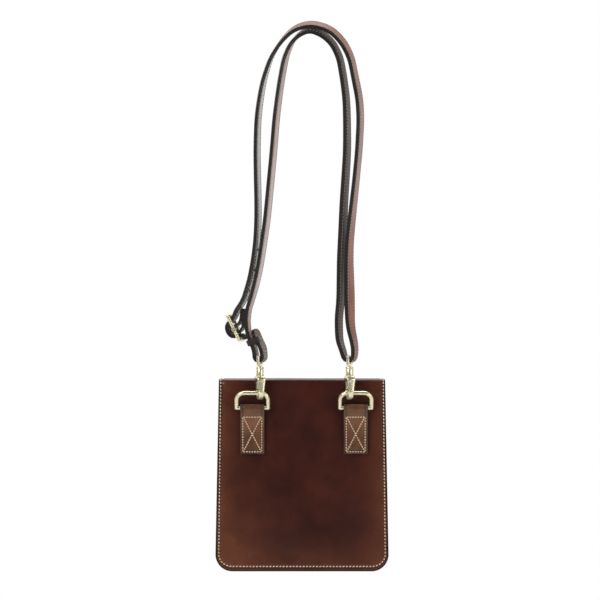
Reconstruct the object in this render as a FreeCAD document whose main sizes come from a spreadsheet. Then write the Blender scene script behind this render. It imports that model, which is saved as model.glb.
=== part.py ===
import FreeCAD, Part
import math
import os
from FreeCAD import Placement, Rotation, Vector

doc = FreeCAD.newDocument("crossbody_purse")

# Driving dimensions in millimetres and degrees. The origin is the point the strap hangs from,
# +Z is up, the back of the bag faces -Y.
SIZES = {
    "strap_wide": 19.0, "strap_lean": 3.0, "ply": 2.0,
    "hook_left_x": -53.0, "hook_right_x": 40.0, "eye_z": -337.2, "eye_rod": 1.5,
    "eye_half": 11.9, "fold_radius": 4.2, "barrel_top": -347.5, "barrel_tall": 9.3,
    "barrel_radius": 4.2, "stem_radius": 1.6, "stem_fit": 0.05, "rivet_radius": 2.4,
    "rivet_thick": 1.3, "opening_top": -361.5, "bend_z": -373.5, "bend_inner": 4.4,
    "bend_outer": 8.1, "hook_wide_top": 9.4, "hook_wide_low": 5.4, "hook_turn": 15.0,
    "gate_pin_u": 6.1, "gate_pin_z": -359.8, "gate_pin_radius": 0.9, "gate_nose_z": -371.2,
    "ring_left_x": -61.0, "ring_right_x": 46.5, "ring_rod": 2.1, "ring_half": 16.3,
    "ring_corner": 8.0, "ring_top_z": -375.0, "ring_bar_y": 6.8, "ring_bar_z": -390.5,
    "tab_wide": 25.4, "tab_bottom": -438.5, "tab_fit": 0.1,
    "bag_x": -9.3, "bag_top_wide": 173.0, "bag_low_wide": 180.8, "bag_top": -360.0,
    "bag_bottom": -560.5, "bag_corner": 18.0, "back_y": 11.0, "leather": 2.0,
    "lining": 0.8, "bag_deep": 38.0, "gusset_skin": 1.6, "flange": 5.5,
    "fold_z": -366.0, "fold_bend": 5.0, "front_top": -372.0, "flap_gap": 2.4,
    "flap_bottom": -478.0, "flap_corner": 26.0, "snap_z": -455.0, "snap_radius": 8.0,
    "snap_post": 2.8, "buckle_x": -85.0, "buckle_z": -293.0, "buckle_long": 30.9,
    "buckle_rod": 1.8, "buckle_pin": 1.2, "buckle_half": 13.2, "buckle_bar": 17.4, "buckle_tilt": 24.9,
    "keeper_tall": 6.0, "keeper_skin": 1.5, "keeper_room": 2.9, "keeper_x": -58.55, "keeper_z": -321.0,
    "keeper_slope": 23.5,
    "tool_reach": 10.0, "slot_from": 4.2, "slot_deep": 6.0, "lug_low": 2.7,
    "room_wide": 3.4, "room_deep": 6.8, "room_tall": 4.9, "room_from": 3.1, "room_low": 2.9,
    "hook_neck": 4.2, "hook_rise": 4.7, "hook_nose": 12.0, "hook_taper": 2.0,
    "barrel_root": 0.5, "bore_deep": 8.0,
    "gate_knuckle": 1.7, "gate_thick": 1.6, "gate_neck": 4.2, "gate_blade": 4.4, "gate_step": 3.4,
    "gate_fit": 0.25, "gate_pin_fit": 0.06, "gate_pin_long": 7.6,
    "spring_side": 1.26, "spring_coil": 1.35, "spring_wire": 0.35,
    "prong_fit": 0.1, "prong_skin": 1.0, "prong_eye": 3.0, "prong_root": 1.15, "prong_tip": 0.95,
    "prong_root_along": 0.4, "prong_root_out": 2.75, "prong_tip_along": 0.2, "prong_tip_out": 3.3,
    "keeper_slack": 1.0,
}
sheet = doc.addObject("Spreadsheet::Sheet", "Sizes")
for row, (alias, number) in enumerate(SIZES.items(), start=1):
    sheet.set(f"A{row}", alias)
    sheet.set(f"B{row}", str(number))
    sheet.setAlias(f"B{row}", alias)
doc.recompute()

nodes = {}


def size(alias):
    return float(sheet.get(alias))


def keep(name, obj):
    """Labels a finished sub-part with its node name and keeps it for export."""
    obj.Label = name
    nodes[name] = obj
    return obj


def shaped(name, shape, place=None):
    """A sub-part whose form is computed from the sheet's sizes."""
    obj = doc.addObject("Part::Feature", name)
    obj.Shape = shape
    if place:
        obj.Placement = place
    return keep(name, obj)


# ---- flat sections ----------------------------------------------------------------------

def rounded(points, radii=None):
    """Straight runs and tangent arcs through hand-set corners, as (start, mid, end, radius)."""
    pieces = []
    here = Vector(*points[0], 0)
    for i in range(1, len(points) - 1):
        before, at, after = (Vector(*points[k], 0) for k in (i - 1, i, i + 1))
        into, out = (at - before), (after - at)
        turn = into.getAngle(out)
        radius = 0.45 * min(into.Length, out.Length) / math.tan(turn / 2)
        if radii and i in radii:
            radius = radii[i]
        reach = radius * math.tan(turn / 2)
        into.normalize()
        out.normalize()
        first, last = at - into * reach, at + out * reach
        inside = (out - into).normalize()
        centre = at + inside * (radius / math.cos(turn / 2))
        pieces.append((here, None, first, centre))
        pieces.append((first, centre - inside * radius, last, centre))
        here = last
    pieces.append((here, None, Vector(*points[-1], 0), None))
    return pieces


def beside(pieces, shift):
    """The same runs and arcs moved sideways by shift (left of travel is positive)."""
    moved = []
    for start, mid, end, centre in pieces:
        if mid is None:
            side = Vector(start.y - end.y, end.x - start.x, 0).normalize() * shift
            moved.append((start + side, None, end + side))
        else:
            left = (end - start).cross(centre - mid).z > 0
            reach = (mid - centre).Length
            grow = (reach - shift) / reach if left else (reach + shift) / reach
            moved.append(tuple(centre + (p - centre) * grow for p in (start, mid, end)))
    return moved


def strip(points, low, high, lift, radii=None):
    """A closed face between two lines beside a route; lift turns flat points into 3-D ones."""
    pieces = rounded(points, radii)
    edges = []
    for shift in (low, high):
        for start, mid, end in beside(pieces, shift):
            if mid is None:
                edges.append(Part.LineSegment(lift(start), lift(end)).toShape())
            else:
                edges.append(Part.Arc(lift(start), lift(mid), lift(end)).toShape())
    first, last = pieces[0], pieces[-1]
    for start, end, at in ((first[0], first[2], first[0]), (last[0], last[2], last[2])):
        side = Vector(start.y - end.y, end.x - start.x, 0).normalize()
        edges.append(Part.LineSegment(lift(at + side * low), lift(at + side * high)).toShape())
    return Part.Face(Part.Wire(Part.__sortEdges__(edges)))


def across(y):
    """Points given as X and Z, set at one depth."""
    return lambda p: Vector(p.x, y, p.y)


def deep(x):
    """Points given as Y and Z, set at one X."""
    return lambda p: Vector(x, p.x, p.y)


def closed(points, lift, radii):
    """A closed face with rounded corners; radii names the corners that are round."""
    count = len(points)
    start = (Vector(*points[0], 0) + Vector(*points[-1], 0)) * 0.5
    ring = [(start.x, start.y)] + list(points) + [(start.x, start.y)]
    pieces = rounded(ring, {i + 1: radii.get(i, 0.01) for i in range(count)})
    edges = []
    for a, mid, b, _ in pieces:
        if (b - a).Length < 1e-6:
            continue
        if mid is None:
            edges.append(Part.LineSegment(lift(a), lift(b)).toShape())
        else:
            edges.append(Part.Arc(lift(a), lift(mid), lift(b)).toShape())
    return Part.Face(Part.Wire(edges))


# ---- strap ------------------------------------------------------------------------------

def buckle_point(along, out):
    """A point beside the buckle: along its frame from the top, and outwards to the left."""
    tilt = math.radians(size("buckle_tilt"))
    run = Vector(math.sin(tilt), -math.cos(tilt), 0)
    face = Vector(-math.cos(tilt), -math.sin(tilt), 0)
    spot = Vector(size("buckle_x"), size("buckle_z"), 0) + run * along + face * out
    return (spot.x, spot.y)


# The belt's middle line, from its folded-back end at the left hook, over the hanging point,
# round the right hook, back over and down into the buckle. Corners of each end fold are added.
LEFT_LEG_IN = [(-60.7, -308.4), (-57.2, -318.4), (-50.7, -328.0)]
LEFT_LEG_OUT = [(-57.8, -330.0), (-62.5, -320.0), (-65.5, -309.5), (-66.3, -299.0),
                (-65.0, -287.5), (-62.0, -278.0)]
INNER_ROUTE = [(-56.5, -257.5), (-52.5, -236.5), (-49.5, -216.0), (-46.5, -195.0),
               (-44.5, -174.5), (-42.5, -153.5), (-39.5, -122.5), (-37.0, -91.0),
               (-34.5, -70.5), (-31.5, -49.5), (-27.0, -26.0), (-20.5, -11.4),
               (-12.0, -2.4), (0.0, 3.2), (13.0, -2.4), (22.5, -11.4), (29.5, -26.0),
               (33.5, -49.5), (36.0, -70.5), (36.5, -91.0), (36.5, -122.5), (34.5, -153.5),
               (33.0, -174.5), (32.0, -195.0), (31.0, -216.0), (30.0, -236.5),
               (29.5, -278.5), (27.5, -299.0), (28.5, -320.0), (32.6, -331.0)]
OUTER_ROUTE = [(45.0, -330.0), (43.0, -320.0), (40.0, -309.5), (38.5, -299.0),
               (37.5, -278.5), (37.5, -236.5), (38.5, -216.0), (41.0, -195.0),
               (43.5, -174.5), (46.0, -153.5), (49.0, -122.5), (50.5, -91.0),
               (49.5, -70.5), (45.5, -49.5), (41.0, -26.0), (32.5, -9.4), (19.5, 3.6),
               (0.5, 8.8), (-17.0, 3.6), (-29.5, -8.4), (-41.0, -26.0), (-49.0, -49.5),
               (-53.0, -70.5), (-55.5, -91.0), (-56.5, -122.5), (-56.0, -153.5),
               (-55.5, -174.5), (-55.5, -195.0), (-56.5, -216.0), (-59.0, -236.5),
               (-63.0, -257.5), (-69.5, -278.5)]
BUCKLE_ROUTE = [(0.5, -8.5), (5.0, -4.6), (10.0, 6.0), (15.5, 8.0), (22.8, 6.8),
                (26.3, -5.6), (31.0, -5.0)]
CHAPE_ROUTE = [(0.7, -15.4), (11.0, -9.2), (13.9, -5.0), (13.9, 3.5), (20.9, 3.5),
               (20.9, -7.0), (11.9, -11.4), (1.8, -17.5)]


def fold_corners(hook_x):
    """The two lower corners of the belt's turn round a hook's eye, right one first."""
    reach = size("fold_radius")
    low = size("eye_z") - reach
    return [(hook_x + reach, low), (hook_x - reach, low)]


def belt_points():
    right = fold_corners(size("hook_right_x"))
    turn_left = fold_corners(size("hook_left_x"))
    ends = [buckle_point(*p) for p in BUCKLE_ROUTE]
    return LEFT_LEG_IN + turn_left + LEFT_LEG_OUT + INNER_ROUTE + right[::-1] + OUTER_ROUTE + ends


def lean():
    return Vector(size("strap_lean"), size("strap_wide"), 0)


def belt_solid(points, low, high, shift=Vector(0, 0, 0)):
    """A strip of leather standing on its edge, leaning a little to the right at the back."""
    face = strip(points, low, high, across(0))
    face.translate(lean() * -0.5 + shift)
    return face.extrude(lean())


def prong_slot():
    """The oval hole the prong passes through, with room for it to lift."""
    corners = [buckle_point(a, o) for a, o in ((3.5, 0.9), (14.0, 0.9), (14.0, 5.4), (3.5, 5.4))]
    face = Part.Face(Part.makePolygon([Vector(x, -1.8, z) for x, z in corners + corners[:1]]))
    return face.extrude(Vector(0, 3.6, 0))


def adjusting_holes():
    """Punched holes up the outer strand above the buckle, 20 mm apart."""
    holes = []
    for x, z, slope in ((-66.3, -268.0, 17.0), (-60.7, -247.0, 11.0), (-57.6, -226.0, 7.0)):
        tool = Part.makeCylinder(1.6, 14, Vector(-7, 0, 0), Vector(1, 0, 0))
        holes.append(tool.transformed(Placement(Vector(x, 0, z), Rotation(0, slope, 0)).Matrix))
    return holes


def make_strap():
    points = belt_points()
    pieces = rounded(points)
    print("strap radii", sorted(round((m - c).Length, 1) for _, m, _, c in pieces if m)[:12])
    holes = [prong_slot()] + adjusting_holes()
    thick = size("ply")
    for name, low, high in (("strap_lining_ply", 0, thick), ("strap_face_ply", -thick, 0)):
        shaped(name, belt_solid(points, low, high).cut(holes))
    length = sum((e - s).Length if m is None else Part.Arc(s, m, e).length() for s, m, e, _ in pieces)
    print("strap length mm", round(length))


def make_chape():
    """Short loop that holds the buckle's middle bar and is sewn to the inner strand."""
    points = [buckle_point(*p) for p in CHAPE_ROUTE]
    body = belt_solid(points, -size("ply") / 2, size("ply") / 2)
    corners = [buckle_point(a, o) for a, o in ((12.5, -5.5), (22.5, -5.5), (22.5, 5.0), (12.5, 5.0))]
    face = Part.Face(Part.makePolygon([Vector(x, -2.6, z) for x, z in corners + corners[:1]]))
    shaped("buckle_chape", body.cut(face.extrude(Vector(0, 5.2, 0))))


# ---- buckle -----------------------------------------------------------------------------

def rod(radius, start, end, name="rod"):
    """A round bar between two points, its radius bound to the sheet."""
    bar = doc.addObject("Part::Cylinder", name)
    bar.setExpression("Radius", f"Sizes.{radius}")
    along = end - start
    bar.Height = along.Length
    bar.Placement = Placement(start, Rotation(Vector(0, 0, 1), along))
    return bar


def joined(name, parts, place=None):
    """Several overlapping solids made one sub-part."""
    body = doc.addObject("Part::MultiFuse", name)
    body.Shapes = parts
    body.Refine = True
    if place:
        body.Placement = place
    return keep(name, body)


def elbow(name, ring_radius, rod_radius, place, sweep=90):
    """A bent stretch of round bar, a part of a torus."""
    bend = doc.addObject("Part::Torus", name)
    bend.setExpression("Radius1", ring_radius)
    bend.setExpression("Radius2", f"Sizes.{rod_radius}")
    bend.Angle3 = sweep
    bend.Placement = place
    return bend


def in_buckle(along, out, y):
    """A point of the buckle, which leans with the strap it holds."""
    x, z = buckle_point(along, out)
    return Vector(x, 0, z) + lean() * (y / size("strap_wide"))


def make_buckle():
    """Rectangular frame, its middle bar with two collars, and the prong on that bar."""
    half, rod_r = size("buckle_half"), size("buckle_rod")
    top, low, middle = rod_r, size("buckle_long") - rod_r, size("buckle_bar")
    frame = [rod("buckle_rod", in_buckle(top, 0, -half), in_buckle(top, 0, half)),
             rod("buckle_rod", in_buckle(low, 0, -half), in_buckle(low, 0, half))]
    for side in (-half, half):
        frame.append(rod("buckle_rod", in_buckle(top, 0, side), in_buckle(low, 0, side)))
        for along in (top, low):
            ball = doc.addObject("Part::Sphere", "corner")
            ball.setExpression("Radius", "Sizes.buckle_rod")
            ball.Placement.Base = in_buckle(along, 0, side)
            frame.append(ball)
    loop = joined("buckle_frame_blank", frame)
    del nodes["buckle_frame_blank"]
    bore = rod("buckle_pin", in_buckle(middle, 0, -half - 4), in_buckle(middle, 0, half + 4))
    cut = doc.addObject("Part::Cut", "buckle_frame")
    cut.Base, cut.Tool = loop, bore
    keep("buckle_frame", cut)
    sleeve = half - rod_r - 0.3
    bar = [rod("buckle_pin", in_buckle(middle, 0, -half - 2.4), in_buckle(middle, 0, half + 2.4)),
           rod("buckle_rod", in_buckle(middle, 0, -sleeve), in_buckle(middle, 0, sleeve))]
    for side in (-half - 2.6, half + 1.9):
        collar = rod("buckle_rod", in_buckle(middle, 0, side), in_buckle(middle, 0, side + 0.7), "collar")
        collar.setExpression("Radius", "Sizes.buckle_rod + 0.6")
        bar.append(collar)
    joined("buckle_bar", bar)


def make_prong():
    """Prong curled round the middle bar, resting on the frame's top bar."""
    middle, rod_r = size("buckle_bar"), size("buckle_rod")
    curl_r, wide = rod_r + size("prong_fit"), size("prong_eye")
    eye = Part.makeCylinder(curl_r + size("prong_skin"), wide).cut(Part.makeCylinder(curl_r, wide))
    eye.Placement = Placement(in_buckle(middle, 0, -wide / 2), Rotation(Vector(0, 0, 1), lean()))
    start = in_buckle(middle - size("prong_root_along"), size("prong_root_out"), 0)
    end = in_buckle(size("prong_tip_along"), size("prong_tip_out"), 0)
    slim = size("prong_tip")
    shaft = Part.makeCone(size("prong_root"), slim, (end - start).Length, start, end - start)
    shape = eye.fuse([shaft, Part.makeSphere(slim, end)])
    reach = size("tool_reach")
    shape = shape.cut(Part.makeCylinder(curl_r, 2 * reach, in_buckle(middle, 0, -reach), lean()))
    shaped("buckle_prong", shape)


def make_keeper():
    """Sliding leather loop round the two legs above the left hook."""
    slope = math.radians(size("keeper_slope"))
    mid = Vector(size("keeper_x"), 0, size("keeper_z"))
    run = Vector(math.sin(slope), 0, -math.cos(slope))
    side = Vector(run.z, 0, -run.x)
    skin, tall = size("keeper_skin"), size("keeper_tall")
    wide = 4 * size("ply") + size("keeper_room")

    def block(thick, height, depth):
        corners = [mid + side * (s * thick / 2) + run * (r * height / 2)
                   for s, r in ((-1, -1), (1, -1), (1, 1), (-1, 1))]
        face = Part.Face(Part.makePolygon(corners + corners[:1]))
        push = lean() * (depth / size("strap_wide"))
        face.translate(push * -0.5)
        return face.extrude(push)

    inside = size("strap_wide") + size("keeper_slack")
    band = block(wide + 2 * skin, tall, inside + 2 * skin)
    shaped("keeper_loop", band.cut(block(wide, tall + size("tool_reach"), inside)))


# ---- snap hooks -------------------------------------------------------------------------

def make_eye(name, hook_x):
    """Wide eye that the belt turns round, with a stem riveted inside the hook's barrel."""
    turn = Rotation(Vector(0, 1, 0), lean())
    place = Placement(Vector(hook_x, 0, 0), turn)
    half, high = size("eye_half"), size("eye_z")
    low = size("barrel_top") + 1.9
    corners = [Vector(0, -half, high), Vector(0, half, high), Vector(0, half, low + 0.5),
               Vector(0, 2.6, low), Vector(0, -2.6, low), Vector(0, -half, low + 0.5)]
    parts = []
    for i, corner in enumerate(corners):
        parts.append(rod("eye_rod", corner, corners[(i + 1) % len(corners)]))
        ball = doc.addObject("Part::Sphere", "eye_corner")
        ball.setExpression("Radius", "Sizes.eye_rod")
        ball.Placement.Base = corner
        parts.append(ball)
    under = size("opening_top") - 0.3
    parts.append(rod("stem_radius", Vector(0, 0, low), Vector(0, 0, under - 0.6), "stem"))
    head = doc.addObject("Part::Cylinder", "rivet_head")
    head.setExpression("Radius", "Sizes.rivet_radius")
    head.setExpression("Height", "Sizes.rivet_thick")
    head.Placement.Base = Vector(0, 0, under - size("rivet_thick"))
    parts.append(head)
    joined(name, parts, place)


def hook_place(hook_x):
    return Placement(Vector(hook_x, 0, 0), Rotation(Vector(0, 0, 1), size("hook_turn")))


def gate_slot():
    """Room for the gate: full width below the lugs, narrow between them."""
    nose, pin, reach = size("gate_nose_z"), size("gate_pin_z"), size("tool_reach")
    tall = pin - size("lug_low") - nose
    full = Part.makeBox(2 * reach, size("slot_deep"), tall, Vector(-reach, size("slot_from"), nose))
    wide = size("room_wide")
    corner = Vector(-wide / 2, size("room_from"), pin - size("room_low"))
    return full.fuse(Part.makeBox(wide, size("room_deep"), size("room_tall"), corner))


def make_hook(name, hook_x):
    """Cast hook: swivel barrel, spine, round bend and nose, narrower towards the bend."""
    shoulder = size("barrel_top") - size("barrel_tall")
    bend, inner, outer = size("bend_z"), size("bend_inner"), size("bend_outer")
    top, neck, reach = size("opening_top"), size("hook_neck"), size("tool_reach")
    full = shoulder - size("hook_rise")
    side = Part.Face(Part.Wire([
        Part.LineSegment(Vector(0, neck, shoulder), Vector(0, -neck, shoulder)).toShape(),
        Part.LineSegment(Vector(0, -neck, shoulder), Vector(0, -outer, full)).toShape(),
        Part.LineSegment(Vector(0, -outer, full), Vector(0, -outer, bend)).toShape(),
        Part.Arc(Vector(0, -outer, bend), Vector(0, 0, bend - outer), Vector(0, outer, bend)).toShape(),
        Part.LineSegment(Vector(0, outer, bend), Vector(0, outer, full)).toShape(),
        Part.LineSegment(Vector(0, outer, full), Vector(0, neck, shoulder)).toShape()]))
    blank = side.extrude(Vector(2 * reach, 0, 0))
    blank.translate(Vector(-reach, 0, 0))
    wide, slim = size("hook_wide_top") / 2, size("hook_wide_low") / 2
    slope_end, nose = bend - size("hook_taper"), bend - size("hook_nose")
    front = [(-wide, shoulder), (wide, shoulder), (slim, slope_end), (slim, nose),
             (-slim, nose), (-slim, slope_end)]
    view = Part.Face(Part.makePolygon([Vector(x, -reach, z) for x, z in front + front[:1]]))
    body = blank.common(view.extrude(Vector(0, 2 * reach, 0)))
    body = body.cut(Part.makeBox(2 * reach, 2 * inner, top - bend, Vector(-reach, -inner, bend)))
    body = body.cut(Part.makeCylinder(inner, 2 * reach, Vector(-reach, 0, bend), Vector(1, 0, 0)))
    root = size("barrel_root")
    foot = Vector(0, 0, shoulder - root)
    barrel = Part.makeCylinder(size("barrel_radius"), size("barrel_tall") + root, foot)
    body = body.fuse(barrel).cut(gate_slot())
    bore = size("stem_radius") + size("stem_fit")
    body = body.cut(Part.makeCylinder(bore, 2 * reach, Vector(0, 0, shoulder - size("bore_deep"))))
    pin = Part.makeCylinder(size("gate_pin_radius"), 2 * reach,
                            Vector(-reach, size("gate_pin_u"), size("gate_pin_z")), Vector(1, 0, 0))
    shaped(name, body.cut(pin), hook_place(hook_x))


def make_gate(name, hook_x):
    """Sprung gate: a knuckle on the pin and a blade down to the hook's nose."""
    u, z = size("gate_pin_u"), size("gate_pin_z")
    low, top = size("gate_nose_z") + size("gate_fit"), z - size("gate_step")
    r, thick, wide, tall = size("gate_knuckle"), size("gate_thick"), size("gate_blade"), size("gate_neck")
    knuckle = Part.makeCylinder(r, thick, Vector(-thick / 2, u, z), Vector(1, 0, 0))
    neck = Part.makeBox(thick, 2 * r, tall, Vector(-thick / 2, u - r, z - tall))
    blade = Part.makeBox(wide, 2 * r, top - low, Vector(-wide / 2, u - r, low))
    gate = knuckle.fuse([neck, blade])
    hole, reach = size("gate_pin_radius") + size("gate_pin_fit"), size("tool_reach")
    pin = Part.makeCylinder(hole, 2 * reach, Vector(-reach, u, z), Vector(1, 0, 0))
    shaped(name, gate.cut(pin), hook_place(hook_x))


def make_gate_pin(name, hook_x):
    pin = doc.addObject("Part::Cylinder", name)
    pin.setExpression("Radius", "Sizes.gate_pin_radius")
    pin.setExpression("Height", "Sizes.gate_pin_long")
    seat = Placement(Vector(-size("gate_pin_long") / 2, size("gate_pin_u"), size("gate_pin_z")),
                     Rotation(Vector(0, 0, 1), Vector(1, 0, 0)))
    pin.Placement = hook_place(hook_x).multiply(seat)
    keep(name, pin)


def make_gate_spring(name, hook_x):
    """Two coils of the gate's torsion spring, one at each side of its knuckle."""
    coils = []
    for side in (-size("spring_side"), size("spring_side")):
        coil = doc.addObject("Part::Torus", "coil")
        coil.setExpression("Radius1", "Sizes.spring_coil")
        coil.setExpression("Radius2", "Sizes.spring_wire")
        seat = Placement(Vector(side, size("gate_pin_u"), size("gate_pin_z")),
                         Rotation(Vector(0, 0, 1), Vector(1, 0, 0)))
        coil.Placement = hook_place(hook_x).multiply(seat)
        coils.append(coil)
    group = doc.addObject("Part::Compound", name)
    group.Links = coils
    keep(name, group)


# ---- rings and their tabs ---------------------------------------------------------------

def make_ring(name, ring_x):
    """D-ring: straight bar in the tab, two legs, large corners and a flat top in the hook."""
    drop = Vector(0, size("ring_bar_y"), size("ring_bar_z") - size("ring_top_z"))
    tall = drop.Length
    half, corner = size("ring_half"), size("ring_corner")
    flat = half - corner
    parts = [rod("ring_rod", Vector(-half, 0, 0), Vector(half, 0, 0)),
             rod("ring_rod", Vector(-flat, 0, tall), Vector(flat, 0, tall))]
    for side in (-1, 1):
        parts.append(rod("ring_rod", Vector(side * half, 0, 0), Vector(side * half, 0, tall - corner)))
        ball = doc.addObject("Part::Sphere", "ring_foot")
        ball.setExpression("Radius", "Sizes.ring_rod")
        ball.Placement.Base = Vector(side * half, 0, 0)
        parts.append(ball)
        seat = Placement(Vector(side * flat, 0, tall - corner), Rotation(Vector(1, 0, 0), 90))
        if side < 0:
            seat = seat.multiply(Placement(Vector(), Rotation(Vector(0, 0, 1), 90)))
        parts.append(elbow("ring_corner", "Sizes.ring_corner", "ring_rod", seat))
    tip = math.degrees(math.atan2(drop.y, -drop.z))
    spot = Vector(ring_x, size("ring_bar_y"), size("ring_bar_z"))
    place = Placement(spot, Rotation(Vector(1, 0, 0), tip))
    joined(name, parts, place)


def make_tab(name, ring_x):
    """Leather strip folded round the ring's bar; both layers are sewn flat to the back."""
    back, thick = size("back_y"), size("leather")
    bar_y, bar_z, low = size("ring_bar_y"), size("ring_bar_z"), size("tab_bottom")
    reach = size("ring_rod") + size("tab_fit") + thick / 2
    start = ring_x - size("tab_wide") / 2
    front = back - 1.5 * thick - 0.06
    over = [(back - thick / 2, low), (back - thick / 2, bar_z + reach), (bar_y - reach, bar_z + reach),
            (bar_y - reach, bar_z - 2.0), (front, bar_z - 9.0), (front, low)]
    radii = {1: reach - 0.02, 2: reach - 0.02, 3: 4.0, 4: 6.0}
    wrap = strip(over, -thick / 2, thick / 2, deep(start), radii).extrude(Vector(size("tab_wide"), 0, 0))
    shaped(name, wrap)


# ---- bag --------------------------------------------------------------------------------

def panel_points(inset, top):
    """Outline seen from the back: wider at the bottom; two round lower corners."""
    x, bottom = size("bag_x"), size("bag_bottom")
    wide_top, wide_low = size("bag_top_wide") / 2, size("bag_low_wide") / 2
    slope = (wide_low - wide_top) / (size("bag_top") - bottom)
    upper = wide_top + slope * (size("bag_top") - top) - inset
    lower = wide_low - inset
    return [(x - upper, top), (x - lower, bottom + inset), (x + lower, bottom + inset), (x + upper, top)]


def slab(inset, top, y, thick):
    """A flat piece of the bag's outline, thick in Y."""
    round_r = size("bag_corner") - inset
    face = closed(panel_points(inset, top), across(y), {1: round_r, 2: round_r})
    return face.extrude(Vector(0, thick, 0))


def panel_body(name, top_alias, y_formula, thick_alias):
    """A flat leather piece as a sketched outline and a pad bound to the sheet."""
    body = doc.addObject("PartDesign::Body", name)
    plane = next(f for f in body.Origin.OriginFeatures if f.Role == "XZ_Plane")
    sketch = body.newObject("Sketcher::SketchObject", f"{name}_outline")
    sketch.AttachmentSupport = [(plane, "")]
    sketch.MapMode = "FlatFace"
    face = closed(panel_points(0.0, size(top_alias)), lambda p: Vector(p.x, p.y, 0),
                  {1: size("bag_corner"), 2: size("bag_corner")})
    for edge in face.Edges:
        first, last = edge.Vertexes[0].Point, edge.Vertexes[-1].Point
        if isinstance(edge.Curve, Part.Circle):
            start, end = edge.FirstParameter, edge.LastParameter
            spots = [edge.valueAt(at) for at in (start, (start + end) / 2, end)]
            sketch.addGeometry(Part.Arc(*spots), False)
        else:
            sketch.addGeometry(Part.LineSegment(first, last), False)
    pad = body.newObject("PartDesign::Pad", f"{name}_pad")
    pad.Profile = sketch
    pad.Reversed = True
    pad.setExpression("Length", f"Sizes.{thick_alias}")
    body.setExpression("Placement.Base.y", y_formula)
    return body


def make_back():
    """Back leather with the soft fold at its top, and its suede lining."""
    back, thick, bend = size("back_y"), size("leather"), size("fold_bend")
    flat = slab(0, size("fold_z"), back, thick)
    mid = back + thick / 2
    top = size("bag_top") - thick / 2
    over = [(mid, size("fold_z") - 1), (mid, top), (mid + bend, top)]
    left = size("bag_x") - size("bag_top_wide") / 2
    fold = strip(over, -thick / 2, thick / 2, deep(left), {1: bend - 0.02})
    fold = fold.extrude(Vector(size("bag_top_wide"), 0, 0))
    shaped("back_panel", flat.fuse(fold).removeSplitter())
    inset = size("flange") + size("gusset_skin") + size("lining") + 0.1
    shaped("back_lining", slab(inset, size("fold_z") - 1, back + thick, size("lining")))


def make_front():
    """Front leather and its lining; the mouth of the bag is above them."""
    panel = panel_body("front_panel", "front_top",
                       "Sizes.back_y + Sizes.bag_deep - Sizes.leather", "leather")
    keep("front_panel", panel)
    inset = size("flange") + size("gusset_skin") + size("lining") + 0.1
    y = size("back_y") + size("bag_deep") - size("leather") - size("lining")
    shaped("front_lining", slab(inset, size("front_top"), y, size("lining")))


def ring_of(outer, inner, top, y, thick):
    """The band between two insets of the outline, open at the top."""
    return slab(outer, top, y, thick).cut(slab(inner, top + 30, y - 1, thick + 2))


def make_gusset():
    """One strip round both sides and the bottom, its edges turned out and sewn to the panels."""
    y = size("back_y") + size("leather")
    deep_y = size("bag_deep") - 2 * size("leather")
    skin, flange, top = size("gusset_skin"), size("flange"), size("fold_z") - 2
    wall = ring_of(flange, flange + skin, top, y, deep_y)
    rear = ring_of(0, flange + 0.2, top, y, skin)
    fore = ring_of(0, flange + 0.2, size("front_top"), y + deep_y - skin, skin)
    shaped("gusset", wall.fuse([rear, fore]).removeSplitter())
    inner = flange + skin + 0.02
    shaped("gusset_lining", ring_of(inner, inner + size("lining"), top, y + 0.1, deep_y - 0.2))


def flap_route(offset):
    """Side view of the flap: back over the top, round the front edge and down."""
    top = size("bag_top") - offset
    front = size("back_y") + size("bag_deep") + size("flap_gap") + size("lining") + size("leather") - offset
    start = size("back_y") + size("leather") / 2 + size("fold_bend") + 0.3
    return [(start, top), (front, top), (front, size("flap_bottom"))]


def make_flap():
    """Flap leather and lining, rounded at the two lower corners."""
    x, wide = size("bag_x"), size("bag_top_wide")
    outline = [(x - wide / 2, size("bag_top") + 5), (x - wide / 2, size("flap_bottom")),
               (x + wide / 2, size("flap_bottom")), (x + wide / 2, size("bag_top") + 5)]
    for name, near, far, trim in (("flap_panel", 0, size("leather"), 0.0),
                                  ("flap_lining", size("leather"), size("leather") + size("lining"), 1.5)):
        mid = (near + far) / 2
        face = strip(flap_route(mid), -(far - near) / 2, (far - near) / 2, deep(x - wide / 2),
                     {1: 7.0 - mid})
        body = face.extrude(Vector(wide, 0, 0))
        edge = [(px + (trim if px < x else -trim), pz + (trim if pz < -400 else 0)) for px, pz in outline]
        corner = size("flap_corner") - trim
        trimmed = closed(edge, across(0), {1: corner, 2: corner}).extrude(Vector(0, 90, 0))
        shaped(name, body.common(trimmed))


def disc(name, y, thick, radius, hole=0.0):
    """A round piece of the closing snap, seen from the front of the bag."""
    centre = Vector(size("bag_x"), y, size("snap_z"))
    body = Part.makeCylinder(radius, thick, centre, Vector(0, 1, 0))
    if hole:
        body = body.cut(Part.makeCylinder(hole, thick, centre, Vector(0, 1, 0)))
    return shaped(name, body)


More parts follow.
